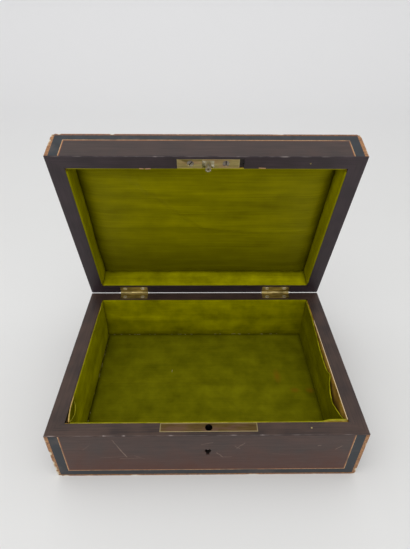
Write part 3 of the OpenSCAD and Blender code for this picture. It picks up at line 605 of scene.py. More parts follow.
def rim_wood(body):
    """Dark wood whose grain follows each strip and turns at the mitres."""
    made, tree, shader = finish_of("dark_rim_facing_" + body, IOR=1.5, Specular_IOR_Level=0.45)
    place = case_mm(tree, body)
    size = add(tree, "VectorMath", {0: place}, operation="ABSOLUTE")
    parts = add(tree, "SeparateXYZ", {0: size}).node.outputs
    from_side = add(tree, "Math", {0: half_w / MM, 1: parts["X"]}, operation="SUBTRACT")
    from_end = add(tree, "Math", {0: half_d / MM, 1: parts["Y"]}, operation="SUBTRACT")
    on_side = add(tree, "Math", {0: from_side, 1: from_end}, operation="LESS_THAN")
    grains = []
    for run in ((0.03, 1.0, 0.3), (1.0, 0.03, 0.3)):
        along = add(tree, "VectorMath", {0: place, 1: run}, operation="MULTIPLY")
        grains.append(add(tree, "TexNoise", {"Vector": along, "Scale": 1.1, "Detail": 4.0}))
    grain = add(tree, "Mix", {0: on_side, 2: grains[0], 3: grains[1]}, data_type="FLOAT")
    cloud = add(tree, "TexNoise", {"Vector": place, "Scale": 0.05, "Detail": 2.0})
    mixed = add(tree, "Math", {0: cloud, 1: 0.5}, operation="MULTIPLY")
    mixed = add(tree, "Math", {0: grain, 1: 0.5, 2: mixed}, operation="MULTIPLY_ADD")
    tone = add(tree, "MapRange", {"Value": mixed, "From Min": 0.38, "From Max": 0.62})
    dark = add(tree, "Mix", {FACTOR: tone, FIRST: srgb(RIM_DARK[body]), SECOND: srgb(RIM_LIGHT[body])},
               data_type="RGBA")
    wear = add(tree, "Attribute", take="Fac", attribute_name="wear")
    # Pale where worn, and pale along the arrises as a painted highlight
    bare_and_highlit = add(tree, "MapRange", {"Value": wear, "From Min": 0.25, "From Max": 1.1})
    colour = add(tree, "Mix", {FACTOR: bare_and_highlit, FIRST: dark, SECOND: srgb("#978a86")},
                 data_type="RGBA")
    tree.links.new(colour, shader.inputs["Base Color"])
    haze = add(tree, "MapRange", {"Value": cloud, "From Min": 0.3, "From Max": 0.7, "To Min": 0.48,
                                  "To Max": 0.55})
    tree.links.new(haze, shader.inputs["Roughness"])
    bump = add(tree, "Bump", {"Height": grain, "Strength": 0.1, "Distance": 0.1 * MM})
    tree.links.new(bump, shader.inputs["Normal"])
    return made


for body in ("base", "lid"):
    shape = worn(body + "_rim", [0, 1], RIM_STEP * MM, RIM_ROUND * MM, RIM_RUB * MM, RIM_CHIPS[body],
                 keep_back=True)
    # The back edge stands proud of the wall, except at the hinges
    hinge_end = case_box(f"hinge_{body}_leaves")[1].x + HINGE_FREE * MM
    hinge_start = hinge_end - (HINGE_LONG + 2 * HINGE_FREE) * MM
    for v in shape.verts:
        beside = abs(v.co.x) > hinge_end or abs(v.co.x) < hinge_start
        if beside and v.co.y > half_d - 0.01 * MM and abs(v.co.x) < half_w - 0.5 * MM:
            v.co.y += PROUD[body] * MM
    rim = piece(f"worn_{body}_rim", shape, rim_wood(body), body)
    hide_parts(body + "_rim")


# Cards
# Plain pasteboard cut to fit each wall, browned by old glue. It shows only where the silk has come
# away from it, and the left one in the base has come off its wall at the front end.
CARD_CUT = 2.0
GAP_WIDE = 2.6
GAP_FROM = -78
GAP_LONG = 18


def left_gap(y):
    """How far the top of the left lining stands off its wall, all in millimetres."""
    return GAP_WIDE * (1 - min(1.0, max(0.0, (y - GAP_FROM) / GAP_LONG))) ** 1.5


cards = {}
for body in ("base", "lid"):
    card, tree, shader = finish_of("browned_pasteboard_" + body, Roughness=0.85, Specular_IOR_Level=0.3)
    place = case_mm(tree, body)
    blotch = add(tree, "TexNoise", {"Vector": place, "Scale": 0.12, "Detail": 4.0})
    tone = add(tree, "MapRange", {"Value": blotch, "From Min": 0.35, "From Max": 0.65})
    colour = add(tree, "Mix", {FACTOR: tone, FIRST: srgb("#7a5a10"), SECOND: srgb("#b08a30")},
                 data_type="RGBA")
    tree.links.new(colour, shader.inputs["Base Color"])
    finish_nodes(card, body + "_lining_cards")
    finish_nodes(card, {"base": "base_floor_card", "lid": "lid_panel_card"}[body])
    cards[body] = card

shape = merged_copy("base_lining_cards")
low, high = case_box("base_left_silk")
for axis in (1, 2):
    count = round((high[axis] - low[axis]) / (CARD_CUT * MM))
    cut_across(shape, axis, [low[axis] + i * CARD_CUT * MM for i in range(1, count)])
for v in shape.verts:
    if v.co.x < low.x + 1 * MM and abs(v.co.y) < high.y + 0.05 * MM:
        share = max(0.0, (v.co.z - low.z) / (high.z - low.z)) ** 1.5
        v.co.x += left_gap(v.co.y / MM) * share * MM
loose_cards = piece("lining_cards_base", shape, cards["base"], "base")
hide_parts("base_lining_cards")


# Silk linings
# Olive green silk with a slubbed weft, drawn over thin wadding and folded round the card's edges.
# The front sheet of each is a cloth that a little pressure fills while its border is held.
SILK_STEP = 2.5
CARD = 1.2
FOLD_R = 0.5
LAP_UP = 0.05
SIM_SCALE = 20.0
SIM_FRAMES = 20
SIM_PRESSURE = 6.0
SIM_SLACK = 0.01
SWELL_MOST = 1.0
SLUB = 1.4
THREAD = 0.5
SPOTS = [(73.7, 11.9, 3.4, 8.0), (88.9, -6.3, 4.5, 2.8), (104.0, -6.4, 4.5, 3.2)]
# The colour of the painted shade on the silk
PAINTED_SHADE_DARK = "#232201"


def silk(name, dark, light, streak, band=0.5, spots=(), painted_shade_between=None, fold_pale="#c2ae58",
         broken=0.25):
    """Slubbed silk, with shares of its pattern in streaks, in bands and, for the rest, in blotches.
    The cloth's own map gives millimetres along the weft and along the warp, and its colour is
    painted darker between two heights, if any, as painted shade. The pale line along its fold fades in
    places to a share."""
    made, tree, shader = finish_of(name, IOR=1.5, Specular_IOR_Level=0.3, Sheen_Weight=0.15,
                                   Sheen_Roughness=0.4, Specular_Tint=srgb("#b4ae10"),
                                   Sheen_Tint=srgb("#a8a210"))
    cloth = add(tree, "VectorMath", {0: add(tree, "UVMap", uv_map="cloth"),
                                     1: (100, 100, 0)}, operation="MULTIPLY")
    weft = add(tree, "VectorMath", {0: cloth, 1: (0.02, 1, 1)}, operation="MULTIPLY")
    slub = add(tree, "TexNoise", {"Vector": weft, "Scale": 1 / SLUB, "Detail": 5.0, "Roughness": 0.6})
    weft = add(tree, "VectorMath", {0: cloth, 1: (0.12, 1, 1)}, operation="MULTIPLY")
    bands = add(tree, "TexNoise", {"Vector": weft, "Scale": 0.08, "Detail": 3.0})
    blotch = add(tree, "TexNoise", {"Vector": cloth, "Scale": 0.045, "Detail": 4.0,
                                    "Roughness": 0.6})
    mixed = add(tree, "Math", {0: bands, 1: band}, operation="MULTIPLY")
    mixed = add(tree, "Math", {0: slub, 1: streak, 2: mixed}, operation="MULTIPLY_ADD")
    mixed = add(tree, "Math", {0: blotch, 1: 1 - band - streak, 2: mixed},
                operation="MULTIPLY_ADD")
    tone = add(tree, "MapRange", {"Value": mixed, "From Min": 0.36, "From Max": 0.64})
    colour = add(tree, "Mix", {FACTOR: tone, FIRST: srgb(dark), SECOND: srgb(light)},
                 data_type="RGBA")
    for x, y, wide, long in spots:
        offset = add(tree, "VectorMath", {0: cloth, 1: (x, y, 0)}, operation="SUBTRACT")
        shaped = add(tree, "VectorMath", {0: offset, 1: (1 / wide, 1 / long, 1)}, operation="MULTIPLY")
        ragged = add(tree, "TexNoise", {"Vector": cloth, "Scale": 0.5, "Detail": 3.0})
        away = add(tree, "VectorMath", {0: shaped}, operation="LENGTH")
        edge = add(tree, "Math", {0: ragged, 1: 0.9, 2: away}, operation="MULTIPLY_ADD")
        stain = add(tree, "MapRange", {"Value": edge, "From Min": 1.8, "From Max": 0.6,
                                       "To Max": 0.6})
        colour = add(tree, "Mix", {FACTOR: stain, FIRST: colour, SECOND: srgb("#80560e")},
                     data_type="RGBA")
    # Painted shade at the borders and corners of each pad, from its attribute
    dirt_and_painted_shade = add(tree, "Attribute", take="Fac", attribute_name="crease")
    # Painted shade, darker towards one end of the cloth, with a wavy edge
    if painted_shade_between:
        height = add(tree, "SeparateXYZ", {0: cloth}, take="Y")
        wavy = add(tree, "Math", {0: bands, 1: 40.0, 2: height}, operation="MULTIPLY_ADD")
        low = add(tree, "MapRange", {"Value": wavy, "From Min": painted_shade_between[0] + 20,
                                     "From Max": painted_shade_between[1] + 20, "To Max": 0.6},
                  interpolation_type="SMOOTHSTEP")
        dirt_and_painted_shade = add(tree, "Math", {0: dirt_and_painted_shade, 1: low}, operation="MAXIMUM")
    shade = add(tree, "Math", {0: dirt_and_painted_shade, 1: 0.75}, operation="MULTIPLY")
    colour = add(tree, "Mix", {FACTOR: shade, FIRST: colour, SECOND: srgb(PAINTED_SHADE_DARK)},
                 data_type="RGBA")
    fold = add(tree, "Attribute", take="Fac", attribute_name="fold")
    patchy = add(tree, "TexNoise", {"Vector": cloth, "Scale": 0.11, "Detail": 3.0})
    patchy = add(tree, "MapRange", {"Value": patchy, "From Min": 0.4, "From Max": 0.62,
                                    "To Min": broken})
    fold = add(tree, "MapRange", {"Value": fold, "From Min": 0.25, "From Max": 0.7})
    pale = add(tree, "Math", {0: fold, 1: patchy}, operation="MULTIPLY")
    colour = add(tree, "Mix", {FACTOR: pale, FIRST: colour, SECOND: srgb(fold_pale)},
                 data_type="RGBA")
    tree.links.new(colour, shader.inputs["Base Color"])
    gloss = add(tree, "MapRange", {"Value": slub, "From Min": 0.3, "From Max": 0.7, "To Min": 0.62,
                                   "To Max": 0.45})
    tree.links.new(gloss, shader.inputs["Roughness"])
    warp = add(tree, "TexWave", {"Vector": cloth, "Scale": 1 / THREAD / math.tau * 3.14,
                                 "Distortion": 0.5}, take="Fac", bands_direction="X")
    weave = add(tree, "Math", {0: slub, 1: 2.0, 2: warp}, operation="MULTIPLY_ADD")
    bump = add(tree, "Bump", {"Height": weave, "Strength": 0.25, "Distance": 0.12 * MM})
    tree.links.new(bump, shader.inputs["Normal"])
    return made


def lining_place(node, inward, under):
    """Length, height and thickness of a silk solid, and the matrix that stands a pad on its back:
    X along it, Y towards its open edge and Z out of it. The pad starts that much under the solid."""
    low, high = case_box(node)
    body = frame["nodes"][node]["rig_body"]
    w = Vector(inward)
    v = Vector((0, 1, 0)) if abs(w.z) else Vector((0, 0, 1 if body == "base" else -1))
    u = v.cross(w)
    middle = (low + high) / 2
    size = high - low
    thick = abs(size.dot(w))
    origin = middle - w * (thick / 2 + under * MM)
    place = Matrix((u, v, w)).transposed().to_4x4()
    place.translation = origin
    return abs(size.dot(u)), abs(size.dot(v)), thick + under * MM, place


def pad_shape(length, height, edge, rise, roll, painted_shade_in, open_edge, lap):
    """A flat pad with a rounded front border. Its front rises from the border over a rolled edge.
    The border is painted with shade that far in, except along an open edge, which is a pale fold
    where it meets the wall and may lap over the rim."""
    shape = bmesh.new()
    cloth = shape.loops.layers.uv.new("cloth")
    fold = shape.verts.layers.float.new("fold")
    crease = shape.verts.layers.float.new("crease")
    bmesh.ops.create_grid(shape, x_segments=round(length / SILK_STEP / MM),
                          y_segments=round(height / SILK_STEP / MM), size=1)
    bmesh.ops.scale(shape, verts=shape.verts, vec=(length / 2, height / 2, 1))
    front = bmesh.ops.extrude_face_region(shape, geom=shape.faces[:])["geom"]
    front_verts = [v for v in front if isinstance(v, bmesh.types.BMVert)]
    front_faces = {f for f in front if isinstance(f, bmesh.types.BMFace)}
    bmesh.ops.translate(shape, verts=front_verts, vec=(0, 0, edge))
    border = [e for e in shape.edges if sum(f in front_faces for f in e.link_faces) == 1]
    bmesh.ops.bevel(shape, geom=border, offset=FOLD_R * MM, offset_type="OFFSET", affect="EDGES",
                    segments=3, profile=0.5, material=-1)
    bmesh.ops.recalc_face_normals(shape, faces=shape.faces)
    for v in shape.verts:
        top = height / 2 - v.co.y
        sides = min(length / 2 - abs(v.co.x), height / 2 + v.co.y)
        inside = min(top, sides)
        # Painted shade, darker towards the pad's borders and corners
        if open_edge:
            v[fold] = 1.0 if top < 0.01 * MM and v.co.z < 0.1 * MM else 0.0
            v[crease] = max(0.0, 1 - sides / painted_shade_in) ** 2
        else:
            v[crease] = max(0.0, 1 - inside / painted_shade_in) ** 2
        if v.co.z > 0.3 * edge:
            v.co.z += (rise - edge) * (1 - math.exp(-max(0.0, inside - FOLD_R * MM) / roll))
        if lap and top < 0.7 * MM:
            from_end = min(1.0, (length / 2 - abs(v.co.x)) / (2.5 * MM))
            v.co.y += LAP_UP * MM
            if v.co.z < 0.1 * MM:
                v[fold] = 0.8
                v.co.z -= lap * from_end
    for f in shape.faces:
        for corner in f.loops:
            corner[cloth].uv = corner.vert.co.xy / (100 * MM)
    return shape


def settle(pads):
    """Lets the fronts of flat pads fill like cloth with their borders held, and caps how far a
    point moves. The cloth is simulated at twenty times its size, where the solver works well."""
    for pad in pads:
        made, mesh = pad["made"], pad["made"].data
        held = made.vertex_groups.new(name="held")
        pad["rest"] = [v.co * SIM_SCALE for v in mesh.vertices]
        for v in mesh.vertices:
            inside = min(pad["length"] / 2 - abs(v.co.x), pad["height"] / 2 - abs(v.co.y))
            fixed = inside < 0.7 * MM or v.normal.z < 0.5
            held.add([v.index], 1.0 if fixed else 0.0, "REPLACE")
            v.co *= SIM_SCALE
        cloth = made.modifiers.new("cloth", "CLOTH")
        cloth.settings.quality = 6
        cloth.settings.mass = 0.1
        cloth.settings.tension_stiffness = 20
        cloth.settings.compression_stiffness = 20
        cloth.settings.shear_stiffness = 8
        cloth.settings.bending_stiffness = 0.3
        cloth.settings.use_pressure = True
        cloth.settings.uniform_pressure_force = SIM_PRESSURE
        cloth.settings.shrink_min = -SIM_SLACK
        cloth.settings.vertex_group_mass = "held"
        cloth.settings.effector_weights.gravity = 0
        cloth.collision_settings.use_collision = False
        cloth.point_cache.frame_end = SIM_FRAMES
    for step in range(1, SIM_FRAMES + 1):
        scene.frame_set(step)
    graph = bpy.context.evaluated_depsgraph_get()
    for pad in pads:
        made = pad["made"]
        moved = [v.co.copy() for v in made.evaluated_get(graph).data.vertices]
        made.modifiers.clear()
        made.vertex_groups.clear()
        for v, rest in zip(made.data.vertices, pad["rest"]):
            step = moved[v.index] - rest
            step *= min(1.0, SWELL_MOST * MM * SIM_SCALE / max(step.length, 1e-9))
            v.co = (rest + step) / SIM_SCALE
    scene.frame_set(1)


def lining(name, node, inward, material, edge, rise=None, roll=8.0, under=CARD, painted_shade_in=3.0, wider=0.0,
           lap=0.0, shift=None):
    """A silk pad in the space of its CAD solid, still lying flat, with what is needed to stand it up.
    It may be wider on each side, to hide its card's edge. The shift tells how far each point is
    pushed out of the wall and how far it has dropped."""
    length, height, thick, place = lining_place(node, inward, under)
    length += 2 * wider * MM
    height += 2 * wider * MM
    top = thick if rise is None else rise * MM
    shape = pad_shape(length, height, edge * MM, top, roll * MM, painted_shade_in * MM, inward[2] == 0, lap * MM)
    mesh = bpy.data.meshes.new(name)
    shape.to_mesh(mesh)
    shape.free()
    mesh.materials.append(material)
    made = bpy.data.objects.new(name, mesh)
    scene.collection.objects.link(made)
    return {"made": made, "node": node, "place": place, "shift": shift, "length": length,
            "height": height}


def hang(pads):
    """Stands the pads in the box and lets the loose ones slump, then finishes them as soft pieces."""
    for pad in pads:
        made, node, place = pad["made"], pad["node"], pad["place"]
        body = frame["nodes"][node]["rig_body"]
        for v in made.data.vertices:
            if pad["shift"]:
                share = max(0.0, v.co.y / pad["height"] + 0.5) ** 1.5
                out, down = pad["shift"](place @ v.co / MM, share)
                v.co.z += out * MM
                v.co.y -= down * MM
            v.co = stand[body] @ (place @ v.co)
        made.data.shade_smooth()
        round_off = made.modifiers.new("soften", "SUBSURF")
        round_off.levels = 1
        round_off.render_levels = 1
        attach(made, body)
        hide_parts(node)


def swell(value, middle, wide):
    """One smooth swell of height 1 round a middle."""
    return math.exp(-((value - middle) / wide) ** 2)


def left_shift(p, share):
    """The left lining has left the wall at its front end, with a pinched fold beside it."""
    pinch = 1.2 * swell(p.y, -64, 3.2) * swell(p.z, 49, 3.0)
    return left_gap(p.y) * share + pinch + 0.5 * share * swell(p.y, 62, 6), 0.0


def front_shift(p, share):
    """The front lining leans in a little, and more in a loose fold at its right end."""
    loose = 1.8 / (1 + math.exp(-(p.x - 94) / 1.2))
    return (0.35 + loose) * share ** 2, 0.0


def back_shift(p, share):
    """The back lining bellies out over the floor, most of all left of its middle."""
    belly = math.sin(math.pi * min(1.0, max(0.0, share ** (2 / 3)))) ** 0.7
    return 1.1 * belly * (0.6 + 0.4 * swell(p.x, 0, 60)), 0.0


# How far the loose top edge of the right lining shows beside the wall, at places from back to front
SWAGS = [(48, 0.0), (28, 1.3), (0, 3.0), (-16, 3.1), (-23, 2.6), (-27, 0.4), (-36, 5.0), (-44, 7.0),
         (-52, 7.8), (-58, 6.4), (-65, 4.6), (-72, 2.5), (-78, 0.5)]


def right_shift(p, share):
    """The right lining's top edge hangs away from its card in two swags."""
    for (y1, far), (y0, near) in zip(SWAGS, SWAGS[1:]):
        if y0 <= p.y <= y1:
            part = (p.y - y0) / (y1 - y0)
            loose = near + (far - near) * part * part * (3 - 2 * part)
            return 0.4 * loose * share, 1.16 * loose * share
    return 0.0, 0.0


# These are copies of one silk, each made lighter or darker to match how its place is lit, as painted
# light and painted shade; the right lining's copy is the darkest
wall_silk = silk("slubbed_silk_walls", "#625f00", "#9f9a00", 0.15, 0.35)
left_silk = silk("slubbed_silk_left", "#666300", "#a3a000", 0.15, 0.35, fold_pale="#dcb478",
                 broken=0.5)
right_silk = silk("slubbed_silk_right", "#4a4800", "#767300", 0.15, 0.35, fold_pale="#aaa41c")
floor_silk = silk("slubbed_silk_floor", "#545303", "#757309", 0.14, 0.26, spots=SPOTS)

base_pads = [
    lining("silk_base_front", "base_front_silk", (0, 1, 0), wall_silk, 1.4, shift=front_shift),
    lining("silk_base_back", "base_back_silk", (0, -1, 0), wall_silk, 1.4, lap=2.2, shift=back_shift),
    lining("silk_base_left", "base_left_silk", (1, 0, 0), left_silk, 1.4, shift=left_shift),
    lining("silk_base_right", "base_right_silk", (-1, 0, 0), right_silk, 1.0, rise=1.1, under=0,
           shift=right_shift),
    lining("silk_base_floor", "base_floor_silk", (0, 0, 1), floor_silk, 0.6, roll=5.0, under=0,
           painted_shade_in=6.0, wider=0.5),
]
# The front lining is cut short at its left end, and the pad's X points to the left of the box
CUT_SHORT = 3
CUT_FROM = 12
front = base_pads[0]
for v in front["made"].data.vertices:
    past = v.co.x - (front["length"] / 2 - CUT_FROM * MM)
    if past > 0:
        v.co.x -= past * CUT_SHORT / CUT_FROM
# The left lining's fold is flat and pale at its front end, and its silk is painted with shade
# behind the loose fold. The loose edge of the right lining is one bright roll, a painted highlight.
left, right = base_pads[2], base_pads[3]
layers = left["made"].data.attributes
folds, painted_shades = layers["fold"].data, layers["crease"].data
for v in left["made"].data.vertices:
    p = left["place"] @ v.co / MM
    top = left["height"] / 2 - v.co.y < 0.01 * MM
    if top and p.y < -52 and v.co.z < 1.0 * MM:
        folds[v.index].value = 1.0
    if not top and v.co.z > 0.4 * MM:
        behind = 0.95 * swell(p.y, -65, 8) * swell(p.z, 54, 3.5)
        painted_shades[v.index].value = max(painted_shades[v.index].value, behind)
folds = right["made"].data.attributes["fold"].data
for v in right["made"].data.vertices:
    if right["height"] / 2 - v.co.y < 0.3 * MM:
        folds[v.index].value = 1.0
settle(base_pads)
hang(base_pads)


# Where the wadded panel bulges to the left, seen from the front to the back of the shut lid
BULGE_MIDDLE = 28
BULGE_WIDE = 26
BULGE_OUT = 2.2
BULGE_IN = 9


def lid_left_shift(p, share):
    """The lid's left lining is pressed flat where the wadded panel bulges against it."""
    return -1.2 * swell(p.y, BULGE_MIDDLE, BULGE_WIDE) * (1 - share), 0.0


# The lid's back silk is a lighter copy, as painted light where it faces up
lid_silk = silk("slubbed_silk_lid", "#6b6700", "#a09a00", 0.2)
lid_back_silk = silk("slubbed_silk_lid_back", "#6f6c00", "#b2ac04", 0.2, 0.3)
# The panel is painted darker towards the hinge, as painted shade on the low part of the open lid
panel_silk = silk("slubbed_silk_panel", "#645f00", "#8f8900", 0.3, painted_shade_between=(0, 62))
lid_pads = [
    lining("silk_lid_front", "lid_front_silk", (0, 1, 0), lid_silk, 1.4),
    lining("silk_lid_back", "lid_back_silk", (0, -1, 0), lid_back_silk, 1.4, lap=3.0),
    lining("silk_lid_left", "lid_left_silk", (1, 0, 0), lid_silk, 1.4, lap=1.4, shift=lid_left_shift),
    lining("silk_lid_right", "lid_right_silk", (-1, 0, 0), lid_silk, 1.4, lap=3.4),
    lining("silk_lid_panel", "lid_panel_silk", (0, 0, -1), panel_silk, 1.2, roll=7.0, under=0,
           painted_shade_in=15.0, wider=1.3),
]
# The panel's border bows out there, and its pad's X points to the left of the box
panel = lid_pads[-1]
for v in panel["made"].data.vertices:
    near = math.exp(-(panel["length"] / 2 - v.co.x) / (BULGE_IN * MM))
    v.co.x += BULGE_OUT * swell(v.co.y / MM, BULGE_MIDDLE, BULGE_WIDE) * near * MM
settle(lid_pads)
hang(lid_pads)


# Selvedge
# A pale woven edge of the silk, still glued along the top of the right card where the rest of it
# has torn away.
SELVEDGE_WIDE = 0.6
SELVEDGE_LONG = 118
SELVEDGE_THICK = 0.35
SELVEDGE_MIDDLE = 59.5

selvedge = finish_of("pale_selvedge", Roughness=0.8, Base_Color=srgb("#dcc39c"))[0]
low, high = case_box("base_right_silk")
shape = bmesh.new()
bmesh.ops.create_cube(shape, size=1)
bmesh.ops.scale(shape, verts=shape.verts,
                vec=(SELVEDGE_WIDE * MM, SELVEDGE_LONG * MM, SELVEDGE_THICK * MM))
bmesh.ops.translate(shape, verts=shape.verts,
                    vec=(high.x + 0.6 * MM, low.y + SELVEDGE_MIDDLE * MM, high.z + 0.15 * MM))
strip = piece("selvedge", shape, selvedge, "base")


# Loose threads
# Ends of pale silk thread that have worked out of the seams round the floor, and one that lies on
# it. Each is drawn as a short straight strand, because its curl is too fine to show.
THREAD_ENDS = 46
THREAD_SHORT = 0.8
THREAD_LONG = 3.0
THREAD_SKEW = 0.4
THREAD_WIDE = 0.22

threads = finish_of("pale_silk_thread", Roughness=0.7, Base_Color=srgb("#b9ad7a"))[0]
low, high = case_box("base_floor_silk")
shape = bmesh.new()


def strand(shape, start, end, wide):
    """A short straight piece of thread between two places."""
    run = end - start
    turn = run.to_track_quat("X", "Z").to_matrix().to_4x4()
    place = Matrix.Translation((start + end) / 2) @ turn @ Matrix.Diagonal((run.length, wide, wide, 1))
    bmesh.ops.create_cube(shape, size=1, matrix=place)


rng = random.Random(7)
for i in range(THREAD_ENDS):
    along = rng.random()
    length = rng.uniform(THREAD_SHORT, THREAD_LONG) * MM
    skew = rng.uniform(-THREAD_SKEW, THREAD_SKEW) * MM
    top = high.z - 0.1 * MM
    if i % 2:
        y = low.y + (high.y - low.y) * along
        start = Vector((low.x + 0.3 * MM, y, top))
        strand(shape, start, start + Vector((skew, length, 0)), THREAD_WIDE * MM)
    else:
        x = low.x + (high.x - low.x) * along
        start = Vector((x, high.y - 0.2 * MM, top))
        strand(shape, start, start + Vector((length, skew, 0)), THREAD_WIDE * MM)
middle = Vector((-34.9, 19.3, 0)) * MM
middle.z = high.z + 0.2 * MM
strand(shape, middle + Vector((0, -1.5, 0)) * MM, middle + Vector((0.3, 1.5, 0)) * MM, 0.3 * MM)
loose_threads = piece("loose_threads", shape, threads, "base")


# Brass and steel
# Cast and rolled brass that was once lacquered: gold-brown with darker and pinkish patches, with
# a painted highlight along its edges. Screw slots and holes are dark with dirt and painted shade, and
# nothing inside the lock has been polished.
def aged_metal(name, body, dark, light, patch, rough=0.36, clean_above=None, bright_round=None):
    """Metal with a patchy tarnish and fine rubbed streaks. It may be dark with dirt and painted shade
    inside a height on the closed box, and carry a painted highlight along the outline of a CAD node."""
    made, tree, shader = finish_of(name)
    place = case_mm(tree, body)
    along = add(tree, "VectorMath", {0: place, 1: (0.4, 1, 1)}, operation="MULTIPLY")
    tarnish = add(tree, "TexNoise", {"Vector": along, "Scale": 0.16, "Detail": 3.0})
    along = add(tree, "VectorMath", {0: place, 1: (0.08, 1, 1)}, operation="MULTIPLY")
    streak = add(tree, "TexNoise", {"Vector": along, "Scale": 1.0, "Detail": 3.0})
    tone = add(tree, "MapRange", {"Value": streak, "From Min": 0.3, "From Max": 0.7})
    metal = add(tree, "Mix", {FACTOR: tone, FIRST: srgb(dark), SECOND: srgb(light)},
                data_type="RGBA")
    pink = add(tree, "MapRange", {"Value": tarnish, "From Min": 0.45, "From Max": 0.62,
                                  "To Max": 0.75})
    colour = add(tree, "Mix", {FACTOR: pink, FIRST: metal, SECOND: srgb(patch)},
                 data_type="RGBA")
    if bright_round:
        low, high = case_box(bright_round)
        middle, reach = (low + high) / 2 / MM, (high - low) / 2 / MM
        offset = add(tree, "VectorMath", {0: place, 1: middle}, operation="SUBTRACT")
        offset = add(tree, "VectorMath", {0: offset}, operation="ABSOLUTE")
        inside = add(tree, "VectorMath", {0: reach, 1: offset}, operation="SUBTRACT")
        parts = add(tree, "SeparateXYZ", {0: inside}).node.outputs
        inside = add(tree, "Math", {0: parts["X"], 1: parts["Y"]}, operation="MINIMUM")
        # A painted highlight along the outline
        rubbed_and_highlit = add(tree, "MapRange", {"Value": inside, "From Min": 0.9, "From Max": 0.4,
                                        "To Max": 0.55})
        colour = add(tree, "Mix", {FACTOR: rubbed_and_highlit, FIRST: colour, SECOND: srgb("#d8c896")},
                     data_type="RGBA")
    if clean_above is None:
        shader.inputs["Metallic"].default_value = 1.0
    else:
        # Dirt and painted shade darken the hollows; a lid lies upside down here, so this is above the
        # height in it and below it in the base
        height = add(tree, "SeparateXYZ", {0: place}, take="Z")
        down = -1.0 if body == "base" else 1.0
        depth = add(tree, "Math", {0: height, 1: down, 2: -down * clean_above},
                    operation="MULTIPLY_ADD")
        dirt_and_painted_shade = add(tree, "MapRange", {"Value": depth, "From Min": 0.1, "From Max": 0.3})
        colour = add(tree, "Mix", {FACTOR: dirt_and_painted_shade, FIRST: colour, SECOND: srgb("#17120e")},
                     data_type="RGBA")
        clean = add(tree, "Math", {0: 1.0, 1: dirt_and_painted_shade}, operation="SUBTRACT")
        tree.links.new(clean, shader.inputs["Metallic"])
    tree.links.new(colour, shader.inputs["Base Color"])
    gloss = add(tree, "MapRange", {"Value": tarnish, "From Min": 0.3, "From Max": 0.7,
                                   "To Min": rough - 0.06, "To Max": rough + 0.12})
    tree.links.new(gloss, shader.inputs["Roughness"])
    bump = add(tree, "Bump", {"Height": streak, "Strength": 0.2, "Distance": 0.05 * MM})
    tree.links.new(bump, shader.inputs["Normal"])
    return made


def softened(node, material, round_off):
    """A CAD fitting with its sharp edges broken, as filed and handled brass has them."""
    body = frame["nodes"][node]["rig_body"]
    shape = merged_copy(node)
    sharp = [e for e in shape.edges if len(e.link_faces) == 2
             and e.calc_face_angle() > math.radians(40) and e.calc_length() > 3 * round_off]
    bmesh.ops.bevel(shape, geom=sharp, offset=round_off, offset_type="OFFSET", affect="EDGES",
                    segments=2, profile=0.5, material=-1, clamp_overlap=True)
    made = piece("softened_" + node, shape, material, body)
    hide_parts(node)
    return made


rim_mm = base_h / MM
plate_brass = aged_metal("tarnished_brass_plate", "base", "#604c2c", "#836c42", "#7c5f50",
                         clean_above=rim_mm, bright_round="lock_plate")
link_brass = aged_metal("tarnished_brass_link", "lid", "#a8945c", "#d8c88c", "#b8966e",
                        bright_round="link_plate")
base_brass = aged_metal("tarnished_brass_base", "base", "#6f6034", "#d6c48a", "#75683c")
lid_brass = aged_metal("tarnished_brass_lid", "lid", "#6f6034", "#d6c48a", "#75683c")
works = aged_metal("unpolished_works", "base", "#1d1712", "#2b231b", "#231a16", 0.6)
nickel = aged_metal("worn_nickel_on_brass", "lid", "#b5ad92", "#e8e2cd", "#a39a78", 0.25)
screw_steel = {
    "base": aged_metal("filed_screw_steel_base", "base", "#cfc8b4", "#fffaf0", "#d8ccac", 0.3,
                       clean_above=rim_mm),
    "lid": aged_metal("filed_screw_steel_lid", "lid", "#cfc8b4", "#fffaf0", "#d8ccac", 0.3,
                      clean_above=0.0),
}
link_head = case_box("link_screws")[0].z / MM
link_steel = aged_metal("filed_link_screw_steel", "lid", "#a39a86", "#e0d8c6", "#6a5a6c", 0.25,
                        clean_above=link_head)
blued = aged_metal("blued_spring_steel", "base", "#34353a", "#5a5d66", "#4a3c34")
pin_brown = finish_of("dull_brown_pin", Roughness=0.6, Base_Color=srgb("#5b4c48"))[0]
finish_nodes(pin_brown, "key_pin")
finish_nodes(works, "lock_case", "guide_studs", "lock_bolt")
finish_nodes(base_brass, "hinge_pins")
finish_nodes(screw_steel["base"], "lock_screws", "hinge_base_screws")
finish_nodes(screw_steel["lid"], "hinge_lid_screws")
finish_nodes(link_steel, "link_screws")
finish_nodes(blued, "lock_spring")
for node, brass in (("lock_plate", plate_brass), ("link_plate", link_brass),
                    ("hinge_base_leaves", base_brass), ("hinge_lid_leaves", lid_brass)):
    softened(node, brass, 0.15 * MM)
softened("link_post", nickel, 0.12 * MM)


